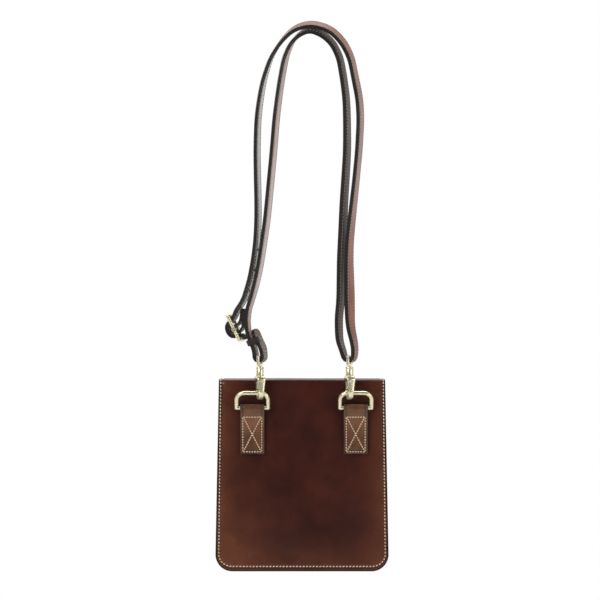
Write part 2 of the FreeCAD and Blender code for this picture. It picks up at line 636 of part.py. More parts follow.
def make_snap():
    """Magnetic snap: socket, magnet and washer on the front; stud and washer on the flap."""
    radius, post = size("snap_radius"), size("snap_post")
    face = size("back_y") + size("bag_deep")
    flap_in = face + size("flap_gap")
    centre = Vector(size("bag_x"), 0, size("snap_z"))
    cup = Part.makeCylinder(radius, 1.7, centre + Vector(0, face, 0), Vector(0, 1, 0))
    room = Part.makeCylinder(radius - 0.7, 1.1, centre + Vector(0, face, 0), Vector(0, 1, 0))
    hole = Part.makeCylinder(post + 0.3, 1.7, centre + Vector(0, face, 0), Vector(0, 1, 0))
    shaped("snap_socket", cup.cut(room).cut(hole))
    disc("snap_magnet", face, 1.1, radius - 0.72, post + 0.3)
    back = face - size("leather") - size("lining")
    disc("snap_socket_washer", back - 0.6, 0.6, radius + 1.5, 1.5)
    plate = Part.makeCylinder(radius, 0.5, centre + Vector(0, flap_in - 0.5, 0), Vector(0, 1, 0))
    pin = Part.makeCylinder(post, 1.8, centre + Vector(0, flap_in - 1.9, 0), Vector(0, 1, 0))
    shaped("snap_stud", plate.fuse(pin))


make_strap()
make_chape()
make_buckle()
make_prong()
make_keeper()
for side in ("left", "right"):
    hook_at = size(f"hook_{side}_x")
    ring_at = size(f"ring_{side}_x")
    make_eye(f"swivel_eye_{side}", hook_at)
    make_hook(f"hook_body_{side}", hook_at)
    make_gate(f"gate_{side}", hook_at)
    make_gate_pin(f"gate_pin_{side}", hook_at)
    make_gate_spring(f"gate_spring_{side}", hook_at)
    make_ring(f"d_ring_{side}", ring_at)
    make_tab(f"ring_tab_{side}", ring_at)
make_back()
make_front()
make_gusset()
make_flap()
make_snap()

doc.recompute()
for obj in doc.Objects:
    if "Invalid" in obj.State or "Error" in obj.State:
        raise RuntimeError(f"{obj.Label}: {obj.State}")
for name, obj in nodes.items():
    if obj.Shape.isNull() or not obj.Shape.isValid():
        raise RuntimeError(f"{name} has no valid shape")

os.makedirs("parts", exist_ok=True)
for name, obj in nodes.items():
    obj.Shape.exportStep(f"parts/{name}.step")
    box = obj.Shape.BoundBox
    print(name, "solids", len(obj.Shape.Solids), "volume", round(obj.Shape.Volume),
          [round(v, 1) for v in (box.XMin, box.XMax, box.YMin, box.YMax, box.ZMin, box.ZMax)])
print("nodes", len(nodes))
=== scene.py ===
import bpy
import bmesh
import numpy as np
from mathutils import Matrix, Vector
from math import cos, sin, tan, radians, pi


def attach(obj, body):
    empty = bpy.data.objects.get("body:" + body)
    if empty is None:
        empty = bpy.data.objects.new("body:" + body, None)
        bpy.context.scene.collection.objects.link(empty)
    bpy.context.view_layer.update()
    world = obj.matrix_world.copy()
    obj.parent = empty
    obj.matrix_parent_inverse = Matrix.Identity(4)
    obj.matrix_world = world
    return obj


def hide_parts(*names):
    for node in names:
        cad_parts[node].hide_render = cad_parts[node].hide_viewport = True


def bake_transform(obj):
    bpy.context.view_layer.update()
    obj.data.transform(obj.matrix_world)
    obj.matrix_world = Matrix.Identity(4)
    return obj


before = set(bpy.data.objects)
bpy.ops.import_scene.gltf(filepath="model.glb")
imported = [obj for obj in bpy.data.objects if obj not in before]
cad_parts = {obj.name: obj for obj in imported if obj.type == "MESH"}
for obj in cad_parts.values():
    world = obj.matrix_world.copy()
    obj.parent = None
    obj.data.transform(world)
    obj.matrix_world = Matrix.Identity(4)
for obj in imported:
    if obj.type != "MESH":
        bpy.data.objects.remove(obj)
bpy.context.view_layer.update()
mm = 0.001
scene = bpy.context.scene
print("frame loaded:", len(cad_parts), "parts")

# camera, floor and light
studio = {"cameraAway": 7.0, "frameTall": 0.6228, "middle": (-0.0114, 0.0, -0.2783),
          "floorZ": -0.80, "floorHalf": 2.1, "key": 34.0, "fill": 14.0, "top": 16.0, "aim": (-0.01, 0.0, -0.42),
          "sensor": 36.0, "roomDim": 0.06, "roomBright": 0.95}


def makeCamera():
    data = bpy.data.cameras.new("studioCamera")
    data.sensor_width = studio["sensor"]
    data.lens = studio["sensor"] * studio["cameraAway"] / studio["frameTall"]
    camera = bpy.data.objects.new("studioCamera", data)
    x, y, z = studio["middle"]
    camera.location = (x, y - studio["cameraAway"], z)
    camera.rotation_euler = (radians(90), 0, 0)
    data.clip_start, data.clip_end = 0.05, 60
    scene.collection.objects.link(camera)
    scene.camera = camera


def areaLight(name, place, size, power):
    data = bpy.data.lights.new(name, "AREA")
    data.shape, data.size, data.energy = "DISK", size, power
    light = bpy.data.objects.new(name, data)
    light.location = place
    towards = Vector(studio["aim"]) - Vector(place)
    light.rotation_euler = towards.to_track_quat("-Z", "Y").to_euler()
    scene.collection.objects.link(light)


def makeStudio():
    half, z = studio["floorHalf"], studio["floorZ"]
    mesh = bpy.data.meshes.new("floor")
    mesh.from_pydata([(-half, -half, z), (half, -half, z), (half, half, z), (-half, half, z)], [], [(0, 1, 2, 3)])
    floor = bpy.data.objects.new("floor", mesh)
    scene.collection.objects.link(floor)
    pale = bpy.data.materials.new("paleFloor")
    pale.use_nodes = True
    surface = pale.node_tree.nodes["Principled BSDF"]
    surface.inputs["Base Color"].default_value = (0.86, 0.86, 0.85, 1)
    surface.inputs["Roughness"].default_value = 0.9
    mesh.materials.append(pale)
    areaLight("keyLight", (-1.5, -1.9, 0.9), 1.5, studio["key"])
    areaLight("fillLight", (1.9, -1.5, 0.1), 1.4, studio["fill"])
    areaLight("topLight", (0.1, 0.9, 1.5), 1.4, studio["top"])
    # the room is dim in front of the bag and bright behind it
    world = bpy.data.worlds.new("studioRoom")
    scene.world = world
    world.use_nodes = True
    tree = world.node_tree
    tree.nodes.clear()
    where = tree.nodes.new("ShaderNodeTexCoord")
    split = tree.nodes.new("ShaderNodeSeparateXYZ")
    ease = tree.nodes.new("ShaderNodeMapRange")
    ease.interpolation_type = "SMOOTHSTEP"
    ease.inputs["From Min"].default_value, ease.inputs["From Max"].default_value = -0.35, 0.55
    ease.inputs["To Min"].default_value = studio["roomDim"]
    ease.inputs["To Max"].default_value = studio["roomBright"]
    ray = tree.nodes.new("ShaderNodeLightPath")
    pick = tree.nodes.new("ShaderNodeMix")
    pick.data_type = "FLOAT"
    sky = tree.nodes.new("ShaderNodeBackground")
    out = tree.nodes.new("ShaderNodeOutputWorld")
    tree.links.new(where.outputs["Generated"], split.inputs[0])
    tree.links.new(split.outputs["Y"], ease.inputs["Value"])
    tree.links.new(ray.outputs["Is Camera Ray"], pick.inputs["Factor"])
    tree.links.new(ease.outputs["Result"], pick.inputs[2])
    pick.inputs[3].default_value = 1.0
    sky.inputs["Color"].default_value = (1, 1, 1, 1)
    tree.links.new(pick.outputs[0], sky.inputs["Strength"])
    tree.links.new(sky.outputs[0], out.inputs[0])
    scene.view_settings.view_transform = "Standard"
    scene.view_settings.look = "None"


makeCamera()
makeStudio()
print("camera and studio ready")


# node groups and finishes
def put(tree, kind, **given):
    node = tree.nodes.new(kind)
    for key, value in given.items():
        setattr(node, key, value)
    return node


def wire(tree, source, target):
    tree.links.new(source, target)


def newGroup(name, ins, outs):
    group = bpy.data.node_groups.new(name, "ShaderNodeTree")
    for label, kind, value in ins:
        socket = group.interface.new_socket(name=label, in_out="INPUT", socket_type=kind)
        if value is not None:
            socket.default_value = value
    for label, kind in outs:
        group.interface.new_socket(name=label, in_out="OUTPUT", socket_type=kind)
    return group, group.nodes.new("NodeGroupInput"), group.nodes.new("NodeGroupOutput")


def noiseNode(tree, vector, scale, detail=3.0, rough=0.55):
    node = put(tree, "ShaderNodeTexNoise")
    wire(tree, vector, node.inputs["Vector"])
    if isinstance(scale, (int, float)):
        node.inputs["Scale"].default_value = scale
    else:
        wire(tree, scale, node.inputs["Scale"])
    node.inputs["Detail"].default_value = detail
    node.inputs["Roughness"].default_value = rough
    return node.outputs["Fac"]


def ranged(tree, value, low, high, toLow=0.0, toHigh=1.0, ease="SMOOTHSTEP"):
    node = put(tree, "ShaderNodeMapRange", interpolation_type=ease)
    wire(tree, value, node.inputs["Value"])
    for label, number in (("From Min", low), ("From Max", high), ("To Min", toLow), ("To Max", toHigh)):
        node.inputs[label].default_value = number
    return node.outputs["Result"]


def sums(tree, kind, a, b):
    node = put(tree, "ShaderNodeMath", operation=kind)
    for socket, value in zip(node.inputs, (a, b)):
        if isinstance(value, (int, float)):
            socket.default_value = value
        else:
            wire(tree, value, socket)
    return node.outputs[0]


def mixed(tree, factor, a, b):
    node = put(tree, "ShaderNodeMix", data_type="RGBA")
    for socket, value in ((node.inputs[0], factor), (node.inputs[6], a), (node.inputs[7], b)):
        if isinstance(value, (int, float, tuple)):
            socket.default_value = value
        else:
            wire(tree, value, socket)
    return node.outputs[2]


def makeGrainGroup():
    # pores from cell edges, fine wrinkles from noise: height = 0.45 pores + wrinkles
    group, given, made = newGroup("leatherGrain", [("Vector", "NodeSocketVector", None),
                                                   ("Pores", "NodeSocketFloat", 1100.0),
                                                   ("Wrinkles", "NodeSocketFloat", 260.0)],
                                  [("Height", "NodeSocketFloat")])
    cell = put(group, "ShaderNodeTexVoronoi", feature="DISTANCE_TO_EDGE")
    wire(group, given.outputs["Vector"], cell.inputs["Vector"])
    wire(group, given.outputs["Pores"], cell.inputs["Scale"])
    pores = ranged(group, cell.outputs["Distance"], 0.0, 0.22)
    wrinkles = noiseNode(group, given.outputs["Vector"], given.outputs["Wrinkles"], 6.0, 0.62)
    total = sums(group, "ADD", sums(group, "MULTIPLY", pores, 0.45), wrinkles)
    wire(group, total, made.inputs["Height"])
    return group


def makeMottleGroup():
    # a broad cloud picks dark or mid, a finer cloud breaks it up, and the warm tone follows the edge mask; that mask
    # also carries painted highlights, where a lighter warm tone stands in for light falling on the hide
    colour = "NodeSocketColor"
    group, given, made = newGroup("leatherMottle", [("Vector", "NodeSocketVector", None),
                                                    ("Dark", colour, None), ("Mid", colour, None),
                                                    ("Warm", colour, None), ("Paint", colour, None),
                                                    ("Warmthandhighlight", "NodeSocketFloat", 0.0),
                                                    ("Seam", "NodeSocketFloat", 0.0),
                                                    ("Rim", "NodeSocketFloat", 0.0),
                                                    ("Spread", "NodeSocketFloat", 22.0)],
                                  [("Color", colour), ("Roughness", "NodeSocketFloat")])
    place = given.outputs["Vector"]
    cloud = noiseNode(group, place, given.outputs["Spread"], 4.0, 0.6)
    patches = ranged(group, cloud, 0.28, 0.74)
    fine = ranged(group, noiseNode(group, place, 320.0, 6.0, 0.62), 0.18, 0.82, ease="LINEAR")
    base = mixed(group, patches, given.outputs["Dark"], given.outputs["Mid"])
    edgeCloud = ranged(group, noiseNode(group, place, 45.0, 4.0, 0.6), 0.25, 0.75, 0.55, 1.15)
    warm = sums(group, "MULTIPLY", given.outputs["Warmthandhighlight"], edgeCloud)
    base = mixed(group, warm, base, given.outputs["Warm"])
    base = mixed(group, sums(group, "MULTIPLY", fine, 0.3), base, given.outputs["Dark"])
    base = mixed(group, sums(group, "MULTIPLY", given.outputs["Seam"], 0.75), base, given.outputs["Paint"])
    base = mixed(group, given.outputs["Rim"], base, given.outputs["Paint"])
    rough = sums(group, "ADD", sums(group, "MULTIPLY", fine, 0.03), sums(group, "MULTIPLY", patches, 0.02))
    wire(group, base, made.inputs["Color"])
    wire(group, rough, made.inputs["Roughness"])
    return group


def makePatinaGroup():
    # worn high spots stay bright, hollows hold a dark olive film; fine scratches roughen the gloss
    colour = "NodeSocketColor"
    group, given, made = newGroup("brassPatina", [("Vector", "NodeSocketVector", None), ("Bright", colour, None),
                                                  ("Dull", colour, None), ("Amount", "NodeSocketFloat", 0.5)],
                                  [("Color", colour), ("Roughness", "NodeSocketFloat"),
                                   ("Height", "NodeSocketFloat")])
    place = given.outputs["Vector"]
    cloud = ranged(group, noiseNode(group, place, 160.0, 5.0, 0.65), 0.35, 0.72)
    speck = ranged(group, noiseNode(group, place, 1400.0, 3.0, 0.6), 0.5, 0.8)
    film = sums(group, "MULTIPLY", sums(group, "ADD", cloud, sums(group, "MULTIPLY", speck, 0.4)),
                given.outputs["Amount"])
    wire(group, mixed(group, film, given.outputs["Bright"], given.outputs["Dull"]), made.inputs["Color"])
    wire(group, sums(group, "ADD", sums(group, "MULTIPLY", film, 0.22), 0.26), made.inputs["Roughness"])
    wire(group, noiseNode(group, place, 900.0, 4.0, 0.6), made.inputs["Height"])
    return group


leatherGrain = makeGrainGroup()
leatherMottle = makeMottleGroup()
brassPatina = makePatinaGroup()


def srgb(r, g, b):
    # screen value 0-255 to linear light
    c = np.array([r, g, b]) / 255.0
    return tuple(np.where(c <= 0.04045, c / 12.92, ((c + 0.055) / 1.055) ** 2.4).tolist()) + (1.0,)


def newFinish(name):
    finish = bpy.data.materials.new(name)
    finish.use_nodes = True
    tree = finish.node_tree
    return finish, tree, tree.nodes["Principled BSDF"], put(tree, "ShaderNodeTexCoord").outputs["Object"]


def bumped(tree, surface, height, strength, distance):
    bump = put(tree, "ShaderNodeBump")
    bump.inputs["Strength"].default_value = strength
    bump.inputs["Distance"].default_value = distance
    wire(tree, height, bump.inputs["Height"])
    wire(tree, bump.outputs[0], surface.inputs["Normal"])


grainSize = {"pores": 1100.0, "depth": 0.00006, "coatRough": 0.14, "coatIor": 1.9}


def leatherFinish(name, dark, mid, warm, paint, rough, spread=22.0, strength=0.5, specular=0.5, coat=0.0):
    # dark, mid and warm are the hide's tones, paint is its edge and seam tone; the coat mask says where the coat
    # lies, heavier where the strands catch the light: a painted highlight, not a real change of finish
    finish, tree, surface, place = newFinish(name)
    tone = put(tree, "ShaderNodeGroup", node_tree=leatherMottle)
    wire(tree, place, tone.inputs["Vector"])
    for label, value in (("Dark", dark), ("Mid", mid), ("Warm", warm), ("Paint", paint)):
        tone.inputs[label].default_value = srgb(*value)
    tone.inputs["Spread"].default_value = spread
    for label in ("Warmthandhighlight", "Seam", "Rim"):
        mask = put(tree, "ShaderNodeAttribute", attribute_name=label.lower()).outputs["Fac"]
        wire(tree, mask, tone.inputs[label])
    wire(tree, tone.outputs["Color"], surface.inputs["Base Color"])
    wire(tree, sums(tree, "ADD", tone.outputs["Roughness"], rough), surface.inputs["Roughness"])
    surface.inputs["Specular IOR Level"].default_value = specular
    if coat:
        # the coat's weight follows a mask along the strap: a painted highlight on the strands that catch the light
        paintedHighlight = put(tree, "ShaderNodeAttribute", attribute_name="paintedHighlight").outputs["Fac"]
        wire(tree, sums(tree, "MULTIPLY", paintedHighlight, coat), surface.inputs["Coat Weight"])
        surface.inputs["Coat Roughness"].default_value = grainSize["coatRough"]
        surface.inputs["Coat IOR"].default_value = grainSize["coatIor"]
    grain = put(tree, "ShaderNodeGroup", node_tree=leatherGrain)
    wire(tree, place, grain.inputs["Vector"])
    grain.inputs["Pores"].default_value = grainSize["pores"]
    bumped(tree, surface, grain.outputs["Height"], strength, grainSize["depth"])
    return finish


def metalFinish(name, bright, dull, amount, metallic=1.0):
    finish, tree, surface, place = newFinish(name)
    film = put(tree, "ShaderNodeGroup", node_tree=brassPatina)
    wire(tree, place, film.inputs["Vector"])
    film.inputs["Bright"].default_value = srgb(*bright)
    film.inputs["Dull"].default_value = srgb(*dull)
    film.inputs["Amount"].default_value = amount
    wire(tree, film.outputs["Color"], surface.inputs["Base Color"])
    wire(tree, film.outputs["Roughness"], surface.inputs["Roughness"])
    surface.inputs["Metallic"].default_value = metallic
    bumped(tree, surface, film.outputs["Height"], 0.06, 0.00005)
    return finish


def threadFinish(name, pale, dull):
    finish, tree, surface, place = newFinish(name)
    fibre = ranged(tree, noiseNode(tree, place, 2600.0, 3.0, 0.6), 0.3, 0.7)
    soil = ranged(tree, noiseNode(tree, place, 60.0, 3.0, 0.5), 0.35, 0.8, 0.0, 0.6)
    colour = mixed(tree, sums(tree, "MULTIPLY", fibre, 0.5), srgb(*pale), srgb(*dull))
    wire(tree, mixed(tree, soil, colour, srgb(*dull)), surface.inputs["Base Color"])
    surface.inputs["Roughness"].default_value = 0.75
    bumped(tree, surface, fibre, 0.5, 0.00012)
    return finish


def suedeFinish(name, base, deep):
    finish, tree, surface, place = newFinish(name)
    nap = ranged(tree, noiseNode(tree, place, 1800.0, 4.0, 0.7), 0.25, 0.75)
    brushed = ranged(tree, noiseNode(tree, place, 38.0, 4.0, 0.6), 0.35, 0.7)
    colour = mixed(tree, sums(tree, "MULTIPLY", nap, 0.6), srgb(*base), srgb(*deep))
    wire(tree, mixed(tree, sums(tree, "MULTIPLY", brushed, 0.45), colour, srgb(*deep)), surface.inputs["Base Color"])
    surface.inputs["Roughness"].default_value = 0.92
    surface.inputs["Sheen Weight"].default_value = 0.25
    bumped(tree, surface, nap, 0.6, 0.00025)
    return finish


bagLeather = leatherFinish("bagLeather", (52, 18, 12), (78, 31, 20), (112, 62, 40), (34, 19, 14), 0.27,
                           spread=32.0, strength=0.12, specular=0.38)
tabLeather = leatherFinish("tabLeather", (84, 50, 30), (120, 78, 50), (142, 100, 70), (40, 25, 17), 0.34, spread=60.0,
                           strength=0.3)
strapLeather = leatherFinish("strapLeather", (124, 68, 46), (172, 104, 76), (160, 98, 70), (44, 36, 30), 0.40,
                             spread=40.0, strength=0.25, specular=0.25, coat=1.0)
strapLining = leatherFinish("strapLining", (84, 54, 40), (118, 80, 60), (108, 74, 58), (40, 34, 29), 0.40,
                            spread=40.0, strength=0.25, specular=0.3, coat=1.0)
strapEdge = leatherFinish("strapEdge", (52, 50, 45), (74, 72, 66), (60, 56, 50), (26, 24, 22), 0.36, spread=140.0)
keeperLeather = leatherFinish("keeperLeather", (44, 28, 22), (66, 44, 34), (72, 50, 38), (30, 24, 20), 0.40,
                              spread=60.0, strength=0.25)
edgePaint = leatherFinish("edgePaint", (28, 17, 13), (44, 27, 20), (52, 34, 24), (20, 13, 11), 0.34, spread=90.0)
rawFlesh = suedeFinish("rawFlesh", (122, 88, 62), (86, 58, 40))
suede = suedeFinish("suedeLining", (150, 116, 84), (104, 76, 54))
bagThread = threadFinish("bagThread", (252, 230, 202), (206, 164, 128))
strapThread = threadFinish("strapThread", (226, 220, 208), (158, 148, 134))
brass = metalFinish("antiqueBrass", (252, 244, 208), (156, 142, 100), 0.18, 0.8)
steel = metalFinish("plainSteel", (196, 196, 192), (120, 120, 118), 0.35)
print("finishes ready")


# shapes
def easeStep(low, high, value):
    t = np.clip((value - low) / (high - low), 0, 1)
    return t * t * (3 - 2 * t)


def bentLine(corners, radii=None, blur=0.0, step=0.3):
    # straight runs, with an arc at each corner whose ends are r*tan(turn/2) from it; then evened out in length
    c = np.array(corners, float)
    runs = [c[:1]]
    for i in range(1, len(c) - 1):
        into, away = c[i] - c[i - 1], c[i + 1] - c[i]
        lengths = np.linalg.norm(into), np.linalg.norm(away)
        into, away = into / lengths[0], away / lengths[1]
        turn = np.arccos(np.clip(into @ away, -1, 1))
        if turn < 1e-5:
            continue
        radius = radii[i] if radii and i in radii else 0.45 * min(lengths) / tan(turn / 2)
        reach = radius * tan(turn / 2)
        inwards = (away - into) / np.linalg.norm(away - into)
        centre = c[i] + inwards * radius / cos(turn / 2)
        first, last = c[i] - into * reach - centre, c[i] + away * reach - centre
        a = np.linspace(0, turn, max(3, int(radius * turn / step)))[:, None]
        runs.append(centre + (first * np.sin(turn - a) + last * np.sin(a)) / sin(turn))
    runs.append(c[-1:])
    points = np.vstack(runs)
    far = np.r_[0, np.cumsum(np.linalg.norm(np.diff(points, axis=0), axis=1))]
    even = np.linspace(0, far[-1], int(far[-1] / step) + 1)
    points = np.column_stack([np.interp(even, far, points[:, k]) for k in range(points.shape[1])])
    if blur:
        reach = int(3 * blur / step)
        weights = np.exp(-0.5 * (np.arange(-reach, reach + 1) * step / blur) ** 2)
        weights /= weights.sum()
        before, after = 2 * points[0] - points[reach:0:-1], 2 * points[-1] - points[-2:-reach - 2:-1]
        long = np.vstack([before, points, after])
        points = np.column_stack([np.convolve(long[:, k], weights, "valid") for k in range(points.shape[1])])
    return points


def routeOf(points):
    # arc length and unit tangent of a dense line
    far = np.r_[0, np.cumsum(np.linalg.norm(np.diff(points, axis=0), axis=1))]
    tangent = np.gradient(points, far, axis=0)
    tangent /= np.linalg.norm(tangent, axis=1)[:, None]
    return {"far": far, "points": points, "tangent": tangent, "length": far[-1]}


def at(route, key, s):
    table = route[key]
    return np.stack([np.interp(s, route["far"], table[:, k]) for k in range(table.shape[1])], axis=-1)


def inPlane(flat, plane, depth=0.0):
    # a flat line set into space: "xz" stands at one depth y, "yz" at one x
    zero = np.full(len(flat), depth)
    return np.column_stack([flat[:, 0], zero, flat[:, 1]] if plane == "xz" else [zero, flat[:, 0], flat[:, 1]])


def gridFaces(rows, columns, start, flip, loop=False):
    last = rows if loop else rows - 1
    i, j = np.meshgrid(np.arange(last), np.arange(columns - 1), indexing="ij")
    a, b = i * columns + j, ((i + 1) % rows) * columns + j
    quads = np.stack([a, b, b + 1, a + 1], axis=-1).reshape(-1, 4) + start
    return quads[:, ::-1] if flip else quads


def addPiece(name, points, faces, finishes, body, indices=None, masks=None, smoothed=True):
    mesh = bpy.data.meshes.new(name)
    mesh.from_pydata((np.asarray(points) * mm).tolist(), [], [list(f) for f in faces])
    for finish in finishes:
        mesh.materials.append(finish)
    if indices is not None:
        mesh.polygons.foreach_set("material_index", np.asarray(indices, np.int32))
    for key, values in (masks or {}).items():
        mesh.attributes.new(key, "FLOAT", "POINT").data.foreach_set("value", np.asarray(values, np.float32))
    pointOutwards(mesh)
    mesh.polygons.foreach_set("use_smooth", np.full(len(mesh.polygons), smoothed))
    piece = bpy.data.objects.new(name, mesh)
    scene.collection.objects.link(piece)
    if body:
        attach(piece, body)
    return piece


def pointOutwards(mesh):
    work = bmesh.new()
    work.from_mesh(mesh)
    bmesh.ops.remove_doubles(work, verts=work.verts, dist=1e-7)
    bmesh.ops.recalc_face_normals(work, faces=work.faces)
    work.to_mesh(mesh)
    work.free()
    mesh.update()


def thickGrid(name, outer, inner, finishes, body, masks=None, loop=False):
    # two grids of points, the outer and inner surfaces, and the walls that join their edges
    rows, columns = outer.shape[:2]
    count = rows * columns
    faces = [gridFaces(rows, columns, 0, False, loop), gridFaces(rows, columns, count, True, loop)]
    last = rows if loop else rows - 1
    i, up = np.arange(last), (np.arange(last) + 1) % rows
    for j, turn in ((0, False), (columns - 1, True)):
        wall = np.stack([i * columns + j, count + i * columns + j, count + up * columns + j, up * columns + j], -1)
        faces.append(wall[:, ::-1] if turn else wall)
    if not loop:
        j = np.arange(columns - 1)
        for row, turn in ((0, True), (rows - 1, False)):
            a = row * columns + j
            wall = np.stack([a, count + a, count + a + 1, a + 1], -1)
            faces.append(wall[:, ::-1] if turn else wall)
    kinds = np.concatenate([np.full(len(f), min(k, 2)) for k, f in enumerate(faces)])
    points = np.vstack([outer.reshape(-1, 3), inner.reshape(-1, 3)])
    both = {key: np.r_[value.ravel(), value.ravel() * 0] if key != "rim" else np.r_[value.ravel(), value.ravel()]
            for key, value in (masks or {}).items()}
    return addPiece(name, points, np.vstack(faces), finishes, body, kinds, both)


groove = {"deep": 0.28, "wide": 0.7, "mask": 0.75}  # the furrow that a stitch line presses into the hide
rimSteps = np.array([0, 0.12, 0.35, 0.7, 1.2, 1.8, 2.4, 3.0, 3.6, 4.3, 5.2, 6.5, 8.5, 11.0])


def rimDistance(s, x, length, half, radii):
    # distance to the sheet's outline: a straight side, a straight end, or the round corner between them
    side = half - np.abs(x)
    best = side
    for end, r in ((s, radii[0]), (length - s, radii[1])):
        if r is None:
            continue
        corner = r - np.hypot(np.maximum(r - side, 0), np.maximum(r - end, 0))
        best = np.minimum(best, np.where((side < r) & (end < r), corner, np.minimum(side, end)))
    return np.maximum(best, 0)


def sheetShape(route, across, normal, half, radii, thick, rimRound=0.6, seams=(), dip=0.0, crown=None):
    # point(s, x) = route(s) + across*x + normal*h; h is half the thickness less the rim's rounding,
    # r - sqrt(r^2 - (r-d)^2), the stitch grooves and the dip towards the rim, at distance d from it
    def widthAt(s):
        full = half(s)
        for end, r in ((s, radii[0]), (route["length"] - s, radii[1])):
            if r:
                cut = r - np.sqrt(np.maximum(r * r - np.maximum(r - end, 0) ** 2, 0))
                full = full - cut
        return full

    def parts(s, x):
        d = rimDistance(s, x, route["length"], half(s), radii)
        rounding = rimRound - np.sqrt(np.maximum(rimRound ** 2 - np.maximum(rimRound - d, 0) ** 2, 0))
        furrow = sum(groove["deep"] * np.exp(-((d - inset) / groove["wide"]) ** 2) for inset in seams) + 0 * d
        lift = crown(s, x, d) if crown else 0 * d
        return rounding, furrow + dip * (1 - easeStep(1.0, 7.5, d)), lift

    def surface(s, x, outside=True, above=0.0):
        rounding, dent, lift = parts(s, x)
        h = thick / 2 - rounding - dent + above if outside else -thick / 2 + rounding
        return at(route, "points", s) + across(s) * x[..., None] + normal(s) * (h + lift)[..., None]

    return {"route": route, "surface": surface, "width": widthAt, "normal": normal, "half": half,
            "radii": radii, "seams": seams}


def makeSheet(name, shape, rows, middle, finishes, body, steps=rimSteps, warmthandhighlight=None, rimMask=(1.9, 1.1),
              paintedHighlight=None):
    # rows run along the route; columns crowd towards both rims
    wide = shape["width"](rows)
    inner = (wide - steps[-1])[:, None] * np.linspace(-1, 1, middle)[None, 1:-1]
    x = np.hstack([-wide[:, None] + steps[None], inner, wide[:, None] - steps[::-1][None]])
    s = np.repeat(rows[:, None], x.shape[1], axis=1)
    d = rimDistance(s, x, shape["route"]["length"], shape["half"](s), shape["radii"])
    masks = {"rim": 1 - easeStep(rimMask[1], rimMask[0], d),
             "seam": sum(np.exp(-((d - inset) / groove["mask"]) ** 2) for inset in shape["seams"]) + 0 * d,
             "warmthandhighlight": warmthandhighlight(s, x, d) if warmthandhighlight else 0 * d}
    # the coat mask is a painted highlight, set spot by spot along the strap
    if paintedHighlight:
        masks["paintedHighlight"] = paintedHighlight(s)
    return thickGrid(name, shape["surface"](s, x), shape["surface"](s, x, False), finishes, body, masks)


def crowdedRows(length, step, fineStart=0.0, fineEnd=0.0, bends=(), fine=0.8):
    # even rows, closer at rounded ends and over bends
    rows = [np.linspace(0, length, max(2, int(length / step) + 1))]
    steps = rimSteps[rimSteps < max(fineStart, 1.3)]
    rows.append(np.r_[steps, np.arange(steps[-1], fineStart, 0.9)])
    steps = rimSteps[rimSteps < max(fineEnd, 1.3)]
    rows.append(length - np.r_[steps, np.arange(steps[-1], fineEnd, 0.9)])
    for low, high in bends:
        rows.append(np.arange(low, high, fine))
    rows = np.unique(np.clip(np.concatenate(rows), 0, length))
    keep = np.r_[True, np.diff(rows) > 0.09]
    rows = rows[keep]
    rows[-1] = length
    return rows


def stitchMesh(name, centres, along, out, finish, body, long=2.5, thick=0.66, slant=0.0, sides=6):
    # each stitch is a bowed capsule: width (1-u^2)^0.35, its ends dipping by bow*u^2 into the leather
    u = np.array([-0.93, -0.6, 0.0, 0.6, 0.93])
    ring = np.linspace(0, 2 * pi, sides, endpoint=False)
    swell = (1 - u ** 2) ** 0.35
    px = np.repeat(u[:, None] * long / 2, sides, 1)
    py = thick * swell[:, None] * np.cos(ring)[None]
    pz = thick * swell[:, None] * np.sin(ring)[None] - 0.45 * (u ** 2)[:, None]
    base = np.column_stack([px.ravel(), py.ravel(), pz.ravel()])
    base = np.vstack([base, [[-long / 2, 0, -0.5], [long / 2, 0, -0.5]]])
    side = np.cross(out, along)
    side /= np.linalg.norm(side, axis=1)[:, None]
    along2 = along * cos(slant) + side * sin(slant)
    side2 = side * cos(slant) - along * sin(slant)
    points = (centres[:, None] + along2[:, None] * base[None, :, 0:1] + side2[:, None] * base[None, :, 1:2]
              + out[:, None] * base[None, :, 2:3])
    k, a, b = len(base), np.arange(sides), (np.arange(sides) + 1) % sides
    quads = np.vstack([np.stack([r * sides + a, r * sides + b, (r + 1) * sides + b, (r + 1) * sides + a], -1)
                       for r in range(len(u) - 1)])
    ends = np.vstack([np.stack([b, a, np.full(sides, k - 2)], -1),
                      np.stack([(len(u) - 1) * sides + a, (len(u) - 1) * sides + b, np.full(sides, k - 1)], -1)])
    shift = (np.arange(len(centres)) * k)[:, None, None]
    faces = (quads[None] + shift).reshape(-1, 4).tolist() + (ends[None] + shift).reshape(-1, 3).tolist()
    return addPiece(name, points.reshape(-1, 3), faces, [finish], body)


def spread(line, pitch):
    # evenly spaced spots and tangents along a dense line
    far = np.r_[0, np.cumsum(np.linalg.norm(np.diff(line, axis=0), axis=1))]
    count = max(1, int(round(far[-1] / pitch)))
    near = 0.3  # half of the reach that the tangent is taken over
    spots = (np.arange(count) + 0.5) * far[-1] / count
    here = np.column_stack([np.interp(spots, far, line[:, k]) for k in range(line.shape[1])])
    ahead = np.column_stack([np.interp(spots + near, far, line[:, k]) for k in range(line.shape[1])])
    behind = np.column_stack([np.interp(spots - near, far, line[:, k]) for k in range(line.shape[1])])
    run = ahead - behind
    return here, run / np.linalg.norm(run, axis=1)[:, None], spots, far


def seamOn(shape, flat, pitch):
    # a stitch line given on the sheet's own (s, x) plane, lifted onto its surface
    line = np.asarray(flat, float)
    dense = []
    for a, b in zip(line[:-1], line[1:]):
        count = max(2, int(np.linalg.norm(b - a) / 0.5))
        dense.append(a + (b - a) * np.linspace(0, 1, count, endpoint=False)[:, None])
    dense = np.vstack(dense + [line[-1:]])
    lifted = shape["surface"](dense[:, 0], dense[:, 1], above=0.12)
    centres, run, spots, far = spread(lifted, pitch)
    return centres, run, shape["normal"](np.interp(spots, far, dense[:, 0]))


def sameNormal(vector):
    fixed = np.array(vector, float)
    return lambda s: np.broadcast_to(fixed, np.shape(s) + (3,))


print("shape tools ready")


